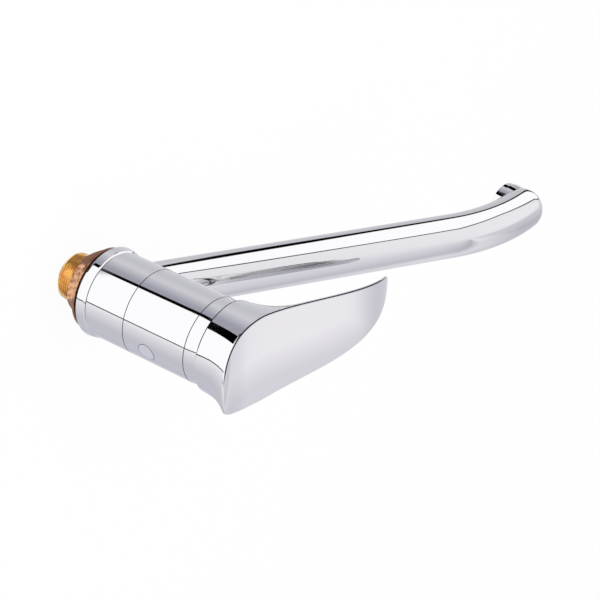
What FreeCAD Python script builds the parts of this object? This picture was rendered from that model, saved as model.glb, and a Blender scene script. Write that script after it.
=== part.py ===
"""Single-lever kitchen mixer tap with a long swivel spout, in millimetres.

+Z runs up the body axis, +X points along the spout and the lever, and the
origin is the centre of the sealing face that stands on the sink.
"""
import FreeCAD, Part
import math
import os
from types import SimpleNamespace

import Sketcher
from FreeCAD import Placement, Rotation, Vector

# Driving sizes, one row each: name, value, what it measures
SIZES = [
    ("body_radius", 25.0, "outside of the body and of the swivel ring"),
    ("edge_break", 0.2, "small chamfer that makes the fine seams"),
    ("running_gap", 0.1, "face gap of parts that turn on each other"),
    ("fit_gap", 0.05, "radial gap of parts that fit in each other"),
    ("base_radius", 26.9, "widest radius of the base flange"),
    ("base_top_radius", 25.8, "radius of the base flange at its top"),
    ("base_height", 6.7, "sealing face to the top of the base flange"),
    ("base_rim_height", 0.8, "sealing face to the rim of the base flange"),
    ("base_round", 2.2, "rounding of the bottom edge of the base flange"),
    ("gasket_inset", 3.6, "rim of the base flange in to the sink gasket"),
    ("gasket_bore", 15.0, "inside of the sink gasket"),
    ("gasket_thickness", 2.2, "height of the sink gasket"),
    ("shank_radius", 14.0, "outside of the M28 x 1.5 shank thread"),
    ("shank_bore", 11.4, "passage for the two inlet hoses"),
    ("shank_drop", 24.3, "sealing face to the lower end of the shank"),
    ("shank_grip", 11.5, "length of shank screwed into the neck"),
    ("shank_bevel", 1.3, "chamfer at the start of the thread"),
    ("washer_radius", 22.5, "outside of the clamp washer"),
    ("washer_thickness", 1.2, "height of the clamp washer"),
    ("nut_flats", 36.0, "width across the flats of the fixing nut"),
    ("nut_flange_radius", 24.2, "outside of the flange on the fixing nut"),
    ("nut_flange_rim", 1.6, "straight height of that flange"),
    ("nut_flange_slope", 2.4, "height of the cone under that flange"),
    ("nut_height", 10.7, "whole height of the fixing nut"),
    ("nut_bevel", 2.5, "height of the bevel on the corners of the nut"),
    ("nut_turn", -2.5, "angle of the nut's first corner round the axis"),
    ("nut_play", 0.08, "radial play of the nut on its thread"),
    ("ring_thickness", 5.0, "wall of the swivel ring"),
    ("neck_play", 0.2, "ring bore in to the neck that it turns on"),
    ("neck_step", 1.8, "step of the neck down to its end in the base flange"),
    ("ring_height", 27.0, "height of the swivel ring"),
    ("lower_glide", 0.8, "thickness of the lower glide ring"),
    ("upper_glide", 0.4, "thickness of the upper glide ring"),
    ("glide_inset", 0.8, "outside of the body in to both glide rings"),
    ("seal_wire", 2.65, "thickness of the O-ring cord"),
    ("seal_groove_depth", 2.55, "depth of the O-ring grooves"),
    ("seal_groove_width", 3.2, "width of the O-ring grooves"),
    ("seal_spacing", 18.4, "distance between the two O-rings"),
    ("channel_depth", 1.6, "water channel round the neck"),
    ("channel_width", 11.0, "height of that channel"),
    ("chamber_depth", 2.2, "water channel inside the swivel ring"),
    ("body_height", 41.9, "height of the fixed upper body"),
    ("seat_drop", 23.0, "body top down to the cartridge seat"),
    ("pocket_wall", 4.4, "body wall round the 40 mm cartridge"),
    ("nut_thread_drop", 7.0, "body top down to the end of the nut thread"),
    ("nut_thread_wall", 3.0, "body wall round the thread of the cartridge nut"),
    ("collar_seat_drop", 2.5, "body top down to the collar seat"),
    ("collar_seat_wall", 2.0, "body wall round the seat of the collar"),
    ("inlet_offset", 6.0, "each inlet sideways from the axis"),
    ("port_radius", 4.0, "inlet channels and mixed-water channel"),
    ("inlet_thread_radius", 4.5, "tapping size of the M10 x 1 inlets"),
    ("inlet_thread_depth", 10.0, "depth of the M10 x 1 inlets"),
    ("outlet_offset", 10.5, "mixed-water channel behind the axis"),
    ("plug_turn", -165.0, "angle of the plug round the body"),
    ("plug_height", 50.7, "centre of the plug above the sink"),
    ("plug_radius", 5.6, "radius of the plug"),
    ("plug_depth", 3.4, "thickness of the plug"),
    ("cross_drill_radius", 3.2, "cross drilling behind the plug"),
    ("housing_play", 0.15, "radial play of the cartridge in its bore"),
    ("housing_shoulder", 4.95, "width of the shoulder on the cartridge housing"),
    ("housing_wall", 1.95, "wall of the lower part of the cartridge"),
    ("housing_neck_wall", 2.5, "wall of the upper part of the cartridge"),
    ("shoulder_height", 16.0, "cartridge seat to its shoulder"),
    ("housing_height", 30.0, "cartridge seat to the top of the housing"),
    ("foot_thickness", 4.0, "cartridge foot"),
    ("port_seal_wire", 1.6, "thickness of the port seals"),
    ("port_seal_radius", 4.9, "mean radius of the port seals"),
    ("disc_thickness", 3.0, "each ceramic disc"),
    ("moving_disc_inset", 3.5, "cartridge wall in to the moving disc"),
    ("mixing_pocket_depth", 1.8, "hollow under the moving disc"),
    ("mixing_pocket_back", 13.5, "far edge of that hollow behind the axis"),
    ("mixing_pocket_front", 5.0, "near edge of that hollow behind the axis"),
    ("mixing_pocket_half_width", 6.5, "half width of that hollow"),
    ("carrier_thickness", 2.0, "plate of the disc carrier"),
    ("guide_width", 15.6, "guide block on the disc carrier"),
    ("guide_length", 13.0, "length of that block"),
    ("guide_height", 2.2, "height of that block"),
    ("rotor_plate_play", 0.5, "radial play of the rotor's turning plate"),
    ("rotor_slot_width", 7.3, "slot for the lever stem"),
    ("rotor_slot_wall", 2.5, "cartridge wall in to the back of that slot"),
    ("rotor_slot_front", 6.2, "slot in front of the axis"),
    ("rotor_top_drop", 1.5, "rotor top under the top of the housing"),
    ("pivot_rise", 22.0, "cartridge seat up to the lever pivot"),
    ("lever_lift", 25.0, "how far the lever lifts"),
    ("pin_radius", 1.5, "pivot pin"),
    ("pin_inset", 2.5, "cartridge wall in to each end of the pivot pin"),
    ("stem_width", 6.8, "square of the lever stem"),
    ("stem_end_drop", 1.7, "top of the lever's hollow down to the end of the stem"),
    ("stem_arm_radius", 1.5, "lower arm of the stem"),
    ("ball_rise", 0.2, "drive ball above the plate of the disc carrier"),
    ("ball_radius", 2.0, "drive ball of the stem"),
    ("ball_play", 0.3, "radial play of the drive ball"),
    ("retainer_play", 0.7, "gap between the cartridge and its nut"),
    ("retainer_head_inset", 2.4, "thread of the cartridge nut in to its head"),
    ("retainer_head_height", 7.0, "head of the cartridge nut"),
    ("retainer_flats", 34.0, "width across the flats of that head"),
    ("dome_wall", 2.0, "wall of the dome collar"),
    ("dome_opening", 18.5, "hole in the top of the dome collar"),
    ("collar_spigot_wall", 1.5, "wall of the collar inside the body"),
    ("lever_gap", 0.7, "gap between the dome and the lever"),
    ("rim_rise", 10.2, "pivot up to the lower rim of the lever"),
    ("rim_overhang", 1.7, "outside of the body out to the rim of the lever"),
    ("leaf_back", 38.3, "lever face behind the axis"),
    ("leaf_front", 107.3, "lever face in front of the axis"),
    ("leaf_widest", 4.9, "widest place of the face before the axis"),
    ("leaf_half_width", 27.0, "half width of the lever face"),
    ("leaf_shoulder", 6.0, "how long the face stays wide"),
    ("leaf_tip_fullness", 17.5, "how blunt the tip of the face is"),
    ("lever_roof", 6.0, "lever above the top of its hollow, on the axis"),
    ("face_rise", 7.2, "slope term of the face over its span"),
    ("face_bulge", 25.0, "square term of the face over its span"),
    ("face_droop", 16.0, "cube term of the face over its span"),
    ("face_span", 65.2, "length that those three terms refer to"),
    ("flare_front", 2.2, "how late the skirt flares into the blade, in front"),
    ("flare_side", 1.1, "the same at the sides"),
    ("flare_back", 2.5, "the same at the back"),
    ("leaf_edge_height", 1.5, "upright edge round the lever face"),
    ("face_edge_radius", 0.8, "rounding of the edge of the face"),
    ("boss_radius", 7.6, "boss in the lever round the stem"),
    ("boss_drop", 8.2, "boss down from the roof of the hollow"),
    ("socket_gap", 0.1, "gap between the stem and its socket"),
    ("grub_rise", 5.0, "bottom of the boss up to the grub screw"),
    ("grub_radius", 2.5, "M5 grub screw"),
    ("grub_length", 14.0, "grub screw"),
    ("grub_key", 1.45, "hexagon socket of the grub screw"),
    ("cover_radius", 3.9, "cover plug of the grub screw"),
    ("cover_length", 3.6, "cover plug of the grub screw"),
    ("spout_rise", 33.0, "angle of the straight spout"),
    ("spout_straight", 175.0, "straight length from the ring outwards"),
    ("spout_bend_radius", 97.0, "bend at the end of the straight"),
    ("spout_root_half_width", 14.5, "oval root of the spout, sideways"),
    ("spout_root_half_height", 11.0, "oval root of the spout, upwards"),
    ("spout_radius", 12.9, "round spout where the bend starts"),
    ("spout_tip_radius", 12.7, "round nose of the spout"),
    ("spout_inset", 14.0, "how far the tube is run into the ring"),
    ("spout_wall", 3.2, "wall of the spout"),
    ("outlet_tilt", 11.0, "outlet leans outwards from the vertical"),
    ("stub_radius", 11.8, "outlet stub under the nose"),
    ("stub_drop", 10.6, "nose centre to the end of the stub"),
    ("stub_thread_radius", 10.0, "thread for the aerator"),
    ("stub_thread_depth", 7.1, "depth of that thread"),
    ("aerator_radius", 11.1, "visible collar of the aerator"),
    ("aerator_collar", 3.8, "height of that collar"),
    ("aerator_wall", 1.5, "wall of the aerator housing"),
    ("aerator_grip", 6.1, "aerator screwed into the stub"),
    ("aerator_lip", 0.8, "inward lip at the mouth of the aerator"),
    ("mesh_thickness", 0.4, "mesh at the mouth of the aerator"),
]

doc = FreeCAD.newDocument("kitchen_mixer_tap")
sheet = doc.addObject("Spreadsheet::Sheet", "Sizes")


class Size:
    """A number together with the sheet expression that gives it."""

    def __init__(self, value, text):
        self.value = value
        self.text = text

    def __add__(self, other):
        other = as_size(other)
        return Size(self.value + other.value, f"({self.text} + {other.text})")

    def __sub__(self, other):
        other = as_size(other)
        return Size(self.value - other.value, f"({self.text} - {other.text})")

    def __mul__(self, other):
        other = as_size(other)
        return Size(self.value * other.value, f"({self.text} * {other.text})")

    def __truediv__(self, other):
        other = as_size(other)
        return Size(self.value / other.value, f"({self.text} / {other.text})")

    def __neg__(self):
        return Size(-self.value, f"(0 - {self.text})")


def as_size(value):
    return value if isinstance(value, Size) else Size(float(value), f"{float(value)}")


def root_of(size):
    return Size(math.sqrt(size.value), f"sqrt({size.text})")


def sine(degrees):
    return Size(math.sin(math.radians(degrees.value)), f"sin({degrees.text})")


def cosine(degrees):
    return Size(math.cos(math.radians(degrees.value)), f"cos({degrees.text})")


def fill_sheet():
    """Write the sizes to the sheet and return them by name."""
    named = {}
    for row, (name, value, meaning) in enumerate(SIZES, start=1):
        sheet.set(f"A{row}", meaning)
        sheet.set(f"B{row}", str(value))
        sheet.setAlias(f"B{row}", name)
        named[name] = Size(value, f"Sizes.{name}")
    doc.recompute()
    return SimpleNamespace(**named)


S = fill_sheet()
ZERO = as_size(0)

# Radii that follow from the body, the flange and the cartridge
GASKET_RADIUS = S.base_radius - S.gasket_inset
RING_BORE = S.body_radius - S.ring_thickness
NECK_RADIUS = RING_BORE - S.neck_play
NECK_THREAD_RADIUS = NECK_RADIUS - S.neck_step
GLIDE_RADIUS = S.body_radius - S.glide_inset
COLLAR_SEAT_RADIUS = S.body_radius - S.collar_seat_wall
NUT_THREAD_RADIUS = S.body_radius - S.nut_thread_wall
RETAINER_HEAD_RADIUS = NUT_THREAD_RADIUS - S.retainer_head_inset
POCKET_RADIUS = S.body_radius - S.pocket_wall
HOUSING_RADIUS = POCKET_RADIUS - S.housing_play
HOUSING_BORE = HOUSING_RADIUS - S.housing_wall
HOUSING_NECK_RADIUS = HOUSING_RADIUS - S.housing_shoulder
HOUSING_NECK_BORE = HOUSING_NECK_RADIUS - S.housing_neck_wall
RETAINER_BORE = HOUSING_NECK_RADIUS + S.retainer_play
PIN_LENGTH = (HOUSING_NECK_BORE - S.pin_inset) * 2
ROTOR_SLOT_BACK = HOUSING_NECK_BORE - S.rotor_slot_wall
MOVING_DISC_RADIUS = HOUSING_BORE - S.moving_disc_inset
RIM_RADIUS = S.body_radius + S.rim_overhang
CAVITY_RADIUS = S.body_radius + S.lever_gap

# Heights that several pieces share
RING_BOTTOM = S.base_height + S.lower_glide + S.running_gap
RING_TOP = RING_BOTTOM + S.ring_height
RING_MIDDLE = RING_BOTTOM + S.ring_height / 2
BODY_FOOT = RING_TOP + S.running_gap
BODY_BOTTOM = BODY_FOOT + S.upper_glide
BODY_TOP = BODY_BOTTOM + S.body_height
SEAT = BODY_TOP - S.seat_drop
SHANK_TOP = S.gasket_thickness + S.shank_grip
SHOULDER = SEAT + S.shoulder_height
HOUSING_TOP = SEAT + S.housing_height
FIXED_DISC_BOTTOM = SEAT + S.foot_thickness
MOVING_DISC_BOTTOM = FIXED_DISC_BOTTOM + S.disc_thickness
CARRIER_BOTTOM = MOVING_DISC_BOTTOM + S.disc_thickness
GUIDE_BOTTOM = CARRIER_BOTTOM + S.carrier_thickness
ROTOR_BOTTOM = GUIDE_BOTTOM + S.running_gap
ROTOR_PLATE_TOP = ROTOR_BOTTOM + S.guide_height
NUT_TOP = -(S.washer_thickness + S.running_gap)
PIVOT = SEAT + S.pivot_rise
BALL_CENTRE = GUIDE_BOTTOM + S.ball_rise
DISC_TRAVEL = (PIVOT - BALL_CENTRE) * sine(S.lever_lift)
BOSS_BOTTOM = PIVOT + CAVITY_RADIUS - S.boss_drop
STEM_END = PIVOT + CAVITY_RADIUS - S.stem_end_drop
RIM = PIVOT + S.rim_rise
FACE = PIVOT + CAVITY_RADIUS + S.lever_roof
GRUB = BOSS_BOTTOM + S.grub_rise

# Steps of the lever's surface: points round one side, and rings up the skirt
LEAF_STEPS = 16
LEAF_BACK_SHARE = 0.4
SKIRT_RISES = (0, 0.15, 0.3, 0.45, 0.6, 0.72, 0.82, 0.91, 1)

# How closely two measures must agree to be taken as the same
SAME = 0.001

# Centre of the spout's nose, at the end of its bend
NOSE_X = (S.body_radius + S.spout_straight * cosine(S.spout_rise)
          + S.spout_bend_radius * sine(S.spout_rise))
NOSE_Z = (RING_MIDDLE + S.spout_straight * sine(S.spout_rise)
          + S.spout_bend_radius * (as_size(1) - cosine(S.spout_rise)))


def bind(thing, **properties):
    """Tie properties of an object to the sheet."""
    for name, size in properties.items():
        thing.setExpression(name, as_size(size).text)


def place(thing, x=ZERO, y=ZERO, z=ZERO, prop="Placement"):
    """Tie the position of an object, or of its attachment, to the sheet."""
    for axis, size in (("x", x), ("y", y), ("z", z)):
        thing.setExpression(f"{prop}.Base.{axis}", as_size(size).text)


def new_body(label):
    body = doc.addObject("PartDesign::Body", label)
    body.Label = label
    return body


def new_sketch(body, name, plane="XZ_Plane", offset=None):
    sketch = body.newObject("Sketcher::SketchObject", name)
    origin = next(f for f in body.Origin.OriginFeatures if f.Role == plane)
    sketch.AttachmentSupport = [(origin, "")]
    sketch.MapMode = "FlatFace"
    if offset is not None:
        place(sketch, z=offset, prop="AttachmentOffset")
    return sketch


def hold(sketch, geometry, point, along, size):
    """Hold one coordinate of a point at a size from the sheet."""
    axis = -2 if along == "DistanceX" else -1
    if size.value == 0:
        sketch.addConstraint(Sketcher.Constraint("PointOnObject", geometry, point, axis))
        return
    if size.value > 0:
        ends, shown = (-1, 1, geometry, point), size
    else:
        ends, shown = (geometry, point, -1, 1), -size
    number = sketch.addConstraint(Sketcher.Constraint(along, *ends, shown.value))
    sketch.setExpression(f"Constraints[{number}]", shown.text)


def polygon(sketch, corners, arcs=None):
    """Closed outline through the corners. arcs names the sides that are arcs
    and gives the height of each one's centre, which lies on the axis."""
    arcs = arcs or {}
    points = [(as_size(x), as_size(y)) for x, y in corners]
    count = len(points)
    ends = []
    for side, corner in enumerate(points):
        start = Vector(corner[0].value, corner[1].value, 0)
        following = points[(side + 1) % count]
        end = Vector(following[0].value, following[1].value, 0)
        if side in arcs:
            ends.append(add_arc(sketch, start, end, Vector(0, arcs[side].value, 0)))
        else:
            sketch.addGeometry(Part.LineSegment(start, end), False)
            ends.append((1, 2))
    for side, (x, y) in enumerate(points):
        after = (side + 1) % count
        sketch.addConstraint(Sketcher.Constraint("Coincident", side, ends[side][1],
                                                 after, ends[after][0]))
        hold(sketch, side, ends[side][0], "DistanceX", x)
        hold(sketch, side, ends[side][0], "DistanceY", y)
        if side in arcs:
            sketch.addConstraint(Sketcher.Constraint("PointOnObject", side, 3, -2))


def add_arc(sketch, start, end, centre):
    """Add the short arc between two points. Sketch arcs run counter-clockwise,
    so this says which ends of the arc, 1 or 2, are the side's start and end."""
    first = math.atan2(start.y - centre.y, start.x - centre.x)
    last = math.atan2(end.y - centre.y, end.x - centre.x)
    ring = Part.Circle(centre, Vector(0, 0, 1), start.distanceToPoint(centre))
    sketch.addGeometry(Part.ArcOfCircle(ring, min(first, last), max(first, last)), False)
    return (1, 2) if first < last else (2, 1)


def circle(sketch, radius, x=ZERO, y=ZERO):
    number = sketch.addGeometry(Part.Circle(Vector(x.value, y.value, 0), Vector(0, 0, 1),
                                            radius.value), False)
    hold(sketch, number, 3, "DistanceX", x)
    hold(sketch, number, 3, "DistanceY", y)
    tie = sketch.addConstraint(Sketcher.Constraint("Radius", number, radius.value))
    sketch.setExpression(f"Constraints[{tie}]", radius.text)


def spin(body, name, corners, arcs=None, cut=False):
    """Turn an outline, given as radius and height, round the axis."""
    sketch = new_sketch(body, name + "_outline")
    polygon(sketch, corners, arcs)
    kind = "PartDesign::Groove" if cut else "PartDesign::Revolution"
    feature = body.newObject(kind, name)
    feature.Profile = sketch
    feature.ReferenceAxis = (sketch, ["V_Axis"])
    feature.Angle = 360
    return feature


def turned(label, corners, arcs=None):
    body = new_body(label)
    spin(body, label + "_turned", corners, arcs)
    return body


def tube(label, outer, inner, bottom, top):
    return turned(label, [(inner, bottom), (outer, bottom), (outer, top), (inner, top)])


def drill(body, name, radius, start, depth, x=ZERO, y=ZERO, up=False):
    """Round vertical hole that starts at a height."""
    sketch = new_sketch(body, name + "_circle", "XY_Plane", start)
    circle(sketch, radius, x, y)
    feature = body.newObject("PartDesign::Pocket", name)
    feature.Profile = sketch
    feature.Reversed = up
    bind(feature, Length=depth)
    return feature


def prism(body, name, corners, bottom, height, cut=False):
    """Straight-sided block or pocket that rises from a height."""
    sketch = new_sketch(body, name + "_outline", "XY_Plane", bottom)
    polygon(sketch, corners)
    feature = body.newObject("PartDesign::Pocket" if cut else "PartDesign::Pad", name)
    feature.Profile = sketch
    feature.Reversed = cut
    bind(feature, Length=height)
    return feature


def rectangle(back, front, half_width):
    return [(back, -half_width), (front, -half_width), (front, half_width), (back, half_width)]


def hexagon(flats):
    """Corners of a hexagon, the first of them on the X axis."""
    corner = flats / root_of(as_size(3))
    half = flats / 2
    return [(corner, ZERO), (corner / 2, half), (-corner / 2, half),
            (-corner, ZERO), (-corner / 2, -half), (corner / 2, -half)]


def base_flange():
    bore = NECK_THREAD_RADIUS + S.fit_gap
    recess = GASKET_RADIUS + S.fit_gap
    body = turned("base_flange", [
        (bore, S.gasket_thickness), (recess, S.gasket_thickness), (recess, S.base_rim_height),
        (S.base_radius, S.base_rim_height),
        (S.base_top_radius + S.edge_break / 2, S.base_height - S.edge_break),
        (S.base_top_radius - S.edge_break, S.base_height), (bore, S.base_height)])
    round_edges(body, "base_bottom_round", S.base_round,
                lambda edge: is_ring(edge, S.base_radius, S.base_rim_height))
    return body


def is_ring(edge, radius, height):
    """Whether an edge is the circle of this radius and height on the axis."""
    if not isinstance(edge.Curve, Part.Circle):
        return False
    off = abs(edge.Curve.Radius - radius.value) + abs(edge.Curve.Center.z - height.value)
    return off < SAME


def round_edges(body, name, radius, chosen):
    """Fillet on the edges of the body's last feature that are chosen."""
    doc.recompute()
    base = body.Tip
    names = [f"Edge{i}" for i, edge in enumerate(base.Shape.Edges, start=1) if chosen(edge)]
    fillet = body.newObject("PartDesign::Fillet", name)
    fillet.Base = (base, names)
    bind(fillet, Radius=radius)
    return fillet


def base_gasket():
    return tube("base_gasket", GASKET_RADIUS, S.gasket_bore, ZERO, S.gasket_thickness)


def threaded_shank():
    bottom = -S.shank_drop
    return turned("threaded_shank", [
        (S.shank_bore, bottom), (S.shank_radius - S.shank_bevel, bottom),
        (S.shank_radius, bottom + S.shank_bevel), (S.shank_radius, SHANK_TOP),
        (S.shank_bore, SHANK_TOP)])


def clamp_washer():
    bore = S.shank_radius + S.nut_play * 3
    return tube("clamp_washer", S.washer_radius, bore, -S.washer_thickness, ZERO)


def fixing_nut():
    """Brass backnut: a conical flange over a chamfered hexagon."""
    bore = S.shank_radius + S.nut_play
    corner = S.nut_flats / root_of(as_size(3))
    bottom = NUT_TOP - S.nut_height
    cone_top = NUT_TOP - S.nut_flange_rim
    cone_bottom = cone_top - S.nut_flange_slope
    body = new_body("fixing_nut")
    prism(body, "nut_hexagon", hexagon(S.nut_flats), bottom, S.nut_height)
    spin(body, "nut_flange", [
        (bore, NUT_TOP), (S.nut_flange_radius, NUT_TOP), (S.nut_flange_radius, cone_top),
        (S.nut_flats / 2, cone_bottom), (bore, cone_bottom)])
    crest = corner + S.edge_break
    spin(body, "nut_corner_bevel", [
        (S.nut_flats / 2, bottom), (crest, bottom), (crest, bottom + S.nut_bevel)], cut=True)
    drill(body, "nut_thread", bore, NUT_TOP, S.nut_height)
    body.Placement = Placement(Vector(), Rotation(Vector(0, 0, 1), S.nut_turn.value))
    body.setExpression("Placement.Rotation.Angle", S.nut_turn.text)
    return body


def mixer_body():
    """Fixed upper body with the neck that the spout turns on."""
    edge = S.body_radius - S.edge_break
    recess = GLIDE_RADIUS + S.fit_gap
    shank_hole = S.shank_radius + S.fit_gap
    body = turned("mixer_body", [
        (shank_hole, S.gasket_thickness), (NECK_THREAD_RADIUS, S.gasket_thickness),
        (NECK_THREAD_RADIUS, S.base_height), (NECK_RADIUS, S.base_height),
        (NECK_RADIUS, BODY_BOTTOM), (recess, BODY_BOTTOM), (recess, BODY_FOOT),
        (edge, BODY_FOOT), (S.body_radius, BODY_FOOT + S.edge_break),
        (S.body_radius, BODY_TOP - S.edge_break),
        (edge, BODY_TOP), (COLLAR_SEAT_RADIUS, BODY_TOP),
        (COLLAR_SEAT_RADIUS, BODY_TOP - S.collar_seat_drop),
        (NUT_THREAD_RADIUS, BODY_TOP - S.collar_seat_drop),
        (NUT_THREAD_RADIUS, BODY_TOP - S.nut_thread_drop),
        (POCKET_RADIUS, BODY_TOP - S.nut_thread_drop), (POCKET_RADIUS, SEAT),
        (ZERO, SEAT), (ZERO, SHANK_TOP + S.running_gap), (shank_hole, SHANK_TOP + S.running_gap)])
    floor = NECK_RADIUS - S.seal_groove_depth
    outside = NECK_RADIUS + S.running_gap
    for name, height in (("lower_seal_groove", RING_MIDDLE - S.seal_spacing / 2),
                         ("upper_seal_groove", RING_MIDDLE + S.seal_spacing / 2)):
        low = height - S.seal_groove_width / 2
        high = height + S.seal_groove_width / 2
        spin(body, name, [(floor, low), (outside, low), (outside, high), (floor, high)], cut=True)
    low = RING_MIDDLE - S.channel_width / 2
    high = RING_MIDDLE + S.channel_width / 2
    floor = NECK_RADIUS - S.channel_depth
    spin(body, "water_channel", [(floor, low), (outside, low), (outside, high), (floor, high)],
         cut=True)
    for side, offset in (("hot", S.inlet_offset), ("cold", -S.inlet_offset)):
        drill(body, side + "_inlet", S.port_radius, SEAT, SEAT - SHANK_TOP, y=offset)
        drill(body, side + "_inlet_thread", S.inlet_thread_radius, SHANK_TOP + S.running_gap,
              S.inlet_thread_depth, y=offset, up=True)
    drill(body, "mixed_water_bore", S.port_radius, SEAT, SEAT - RING_MIDDLE + S.port_radius,
          x=-S.outlet_offset)
    radial_hole(body, "mixed_water_port", S.port_radius, as_size(180), RING_MIDDLE,
                S.outlet_offset, NECK_RADIUS - S.outlet_offset)
    radial_hole(body, "plug_seat", S.plug_radius, S.plug_turn, S.plug_height,
                S.body_radius - S.plug_depth, S.plug_depth + S.running_gap)
    radial_hole(body, "cross_drilling", S.cross_drill_radius, S.plug_turn, S.plug_height,
                S.outlet_offset, S.body_radius - S.outlet_offset)
    return body


def radial_hole(body, name, radius, turn, height, start, length):
    """Round hole that points away from the axis, at an angle round it."""
    hole = body.newObject("PartDesign::SubtractiveCylinder", name)
    origin = next(f for f in body.Origin.OriginFeatures if f.Role == "XY_Plane")
    hole.AttachmentSupport = [(origin, "")]
    hole.MapMode = "FlatFace"
    hole.AttachmentOffset = outward(turn)
    place(hole, start * cosine(turn), start * sine(turn), height, "AttachmentOffset")
    bind(hole, Radius=radius, Height=length)
    return hole


def outward(turn):
    """Turn that lays the Z axis of a cylinder away from the body axis."""
    return Placement(Vector(), Rotation(Vector(0, 0, 1), turn.value)
                     * Rotation(Vector(0, 1, 0), 90))


def body_plug():
    """Press-in plug whose face follows the round of the body."""
    rod = doc.addObject("Part::Cylinder", "plug_rod")
    start = S.body_radius - S.plug_depth
    rod.Placement = outward(S.plug_turn)
    place(rod, start * cosine(S.plug_turn), start * sine(S.plug_turn), S.plug_height)
    bind(rod, Radius=S.plug_radius - S.fit_gap, Height=S.plug_depth * 2)
    skin = doc.addObject("Part::Cylinder", "plug_skin")
    place(skin, z=S.plug_height - S.plug_radius * 2)
    bind(skin, Radius=S.body_radius + S.edge_break / 2, Height=S.plug_radius * 4)
    plug = doc.addObject("Part::MultiCommon", "body_plug")
    plug.Shapes = [rod, skin]
    return plug


def seal_ring(label, height):
    """O-ring in its groove in the neck."""
    ring = doc.addObject("Part::Torus", label)
    bind(ring, Radius1=RING_BORE - S.fit_gap - S.seal_wire / 2, Radius2=S.seal_wire / 2)
    place(ring, z=height)
    return ring


def glide_ring(label, bottom, thickness):
    return tube(label, GLIDE_RADIUS, NECK_RADIUS + S.fit_gap, bottom, bottom + thickness)


def spout_sketch(body, name, distance, half_width, half_height):
    """Cross-section of the spout, square to its straight run."""
    sketch = new_sketch(body, name, "YZ_Plane")
    sketch.AttachmentOffset = Placement(Vector(), Rotation(Vector(1, 0, 0), -S.spout_rise.value))
    place(sketch, ZERO, RING_MIDDLE + distance * sine(S.spout_rise),
          S.body_radius + distance * cosine(S.spout_rise), "AttachmentOffset")
    sketch.setExpression("AttachmentOffset.Rotation.Angle", (-S.spout_rise).text)
    if half_width.value == half_height.value:
        circle(sketch, half_width)
    else:
        oval(sketch, half_width, half_height)
    return sketch


def oval(sketch, half_width, half_height):
    """Ellipse about the origin whose long axis is horizontal."""
    number = sketch.addGeometry(Part.Ellipse(Vector(half_width.value, 0, 0),
                                             Vector(0, half_height.value, 0), Vector()), False)
    sketch.exposeInternalGeometry(number)
    hold(sketch, number, 3, "DistanceX", ZERO)
    hold(sketch, number, 3, "DistanceY", ZERO)
    long_axis, short_axis = number + 1, number + 2
    sketch.addConstraint(Sketcher.Constraint("PointOnObject", long_axis, 1, -1))
    for axis, size in ((long_axis, half_width * 2), (short_axis, half_height * 2)):
        tie = sketch.addConstraint(Sketcher.Constraint("Distance", axis, size.value))
        sketch.setExpression(f"Constraints[{tie}]", size.text)


def spout_path(body):
    """Centre line of the spout: a straight that rises, then a level bend."""
    path = new_sketch(body, "spout_path")
    start_x = S.body_radius - S.spout_inset * cosine(S.spout_rise)
    start_z = RING_MIDDLE - S.spout_inset * sine(S.spout_rise)
    bend_x = S.body_radius + S.spout_straight * cosine(S.spout_rise)
    bend_z = RING_MIDDLE + S.spout_straight * sine(S.spout_rise)
    path.addGeometry(Part.LineSegment(Vector(start_x.value, start_z.value, 0),
                                      Vector(bend_x.value, bend_z.value, 0)), False)
    half = math.radians(S.spout_rise.value / 2)
    middle = Vector(NOSE_X.value - S.spout_bend_radius.value * math.sin(half),
                    NOSE_Z.value - S.spout_bend_radius.value * (1 - math.cos(half)), 0)
    path.addGeometry(Part.Arc(Vector(bend_x.value, bend_z.value, 0), middle,
                              Vector(NOSE_X.value, NOSE_Z.value, 0)), False)
    path.addConstraint(Sketcher.Constraint("Coincident", 0, 2, 1, 2))
    hold(path, 0, 1, "DistanceX", start_x)
    hold(path, 0, 1, "DistanceY", start_z)
    hold(path, 0, 2, "DistanceX", bend_x)
    hold(path, 0, 2, "DistanceY", bend_z)
    hold(path, 1, 3, "DistanceX", NOSE_X)
    hold(path, 1, 1, "DistanceX", NOSE_X)
    hold(path, 1, 1, "DistanceY", NOSE_Z)
    return path


def nose_sketch(body, name, radius):
    """Upright circle at the nose, where the centre line is level."""
    sketch = new_sketch(body, name, "YZ_Plane")
    sketch.setExpression("AttachmentOffset.Base.y", NOSE_Z.text)
    sketch.setExpression("AttachmentOffset.Base.z", NOSE_X.text)
    circle(sketch, radius)
    return sketch


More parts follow.
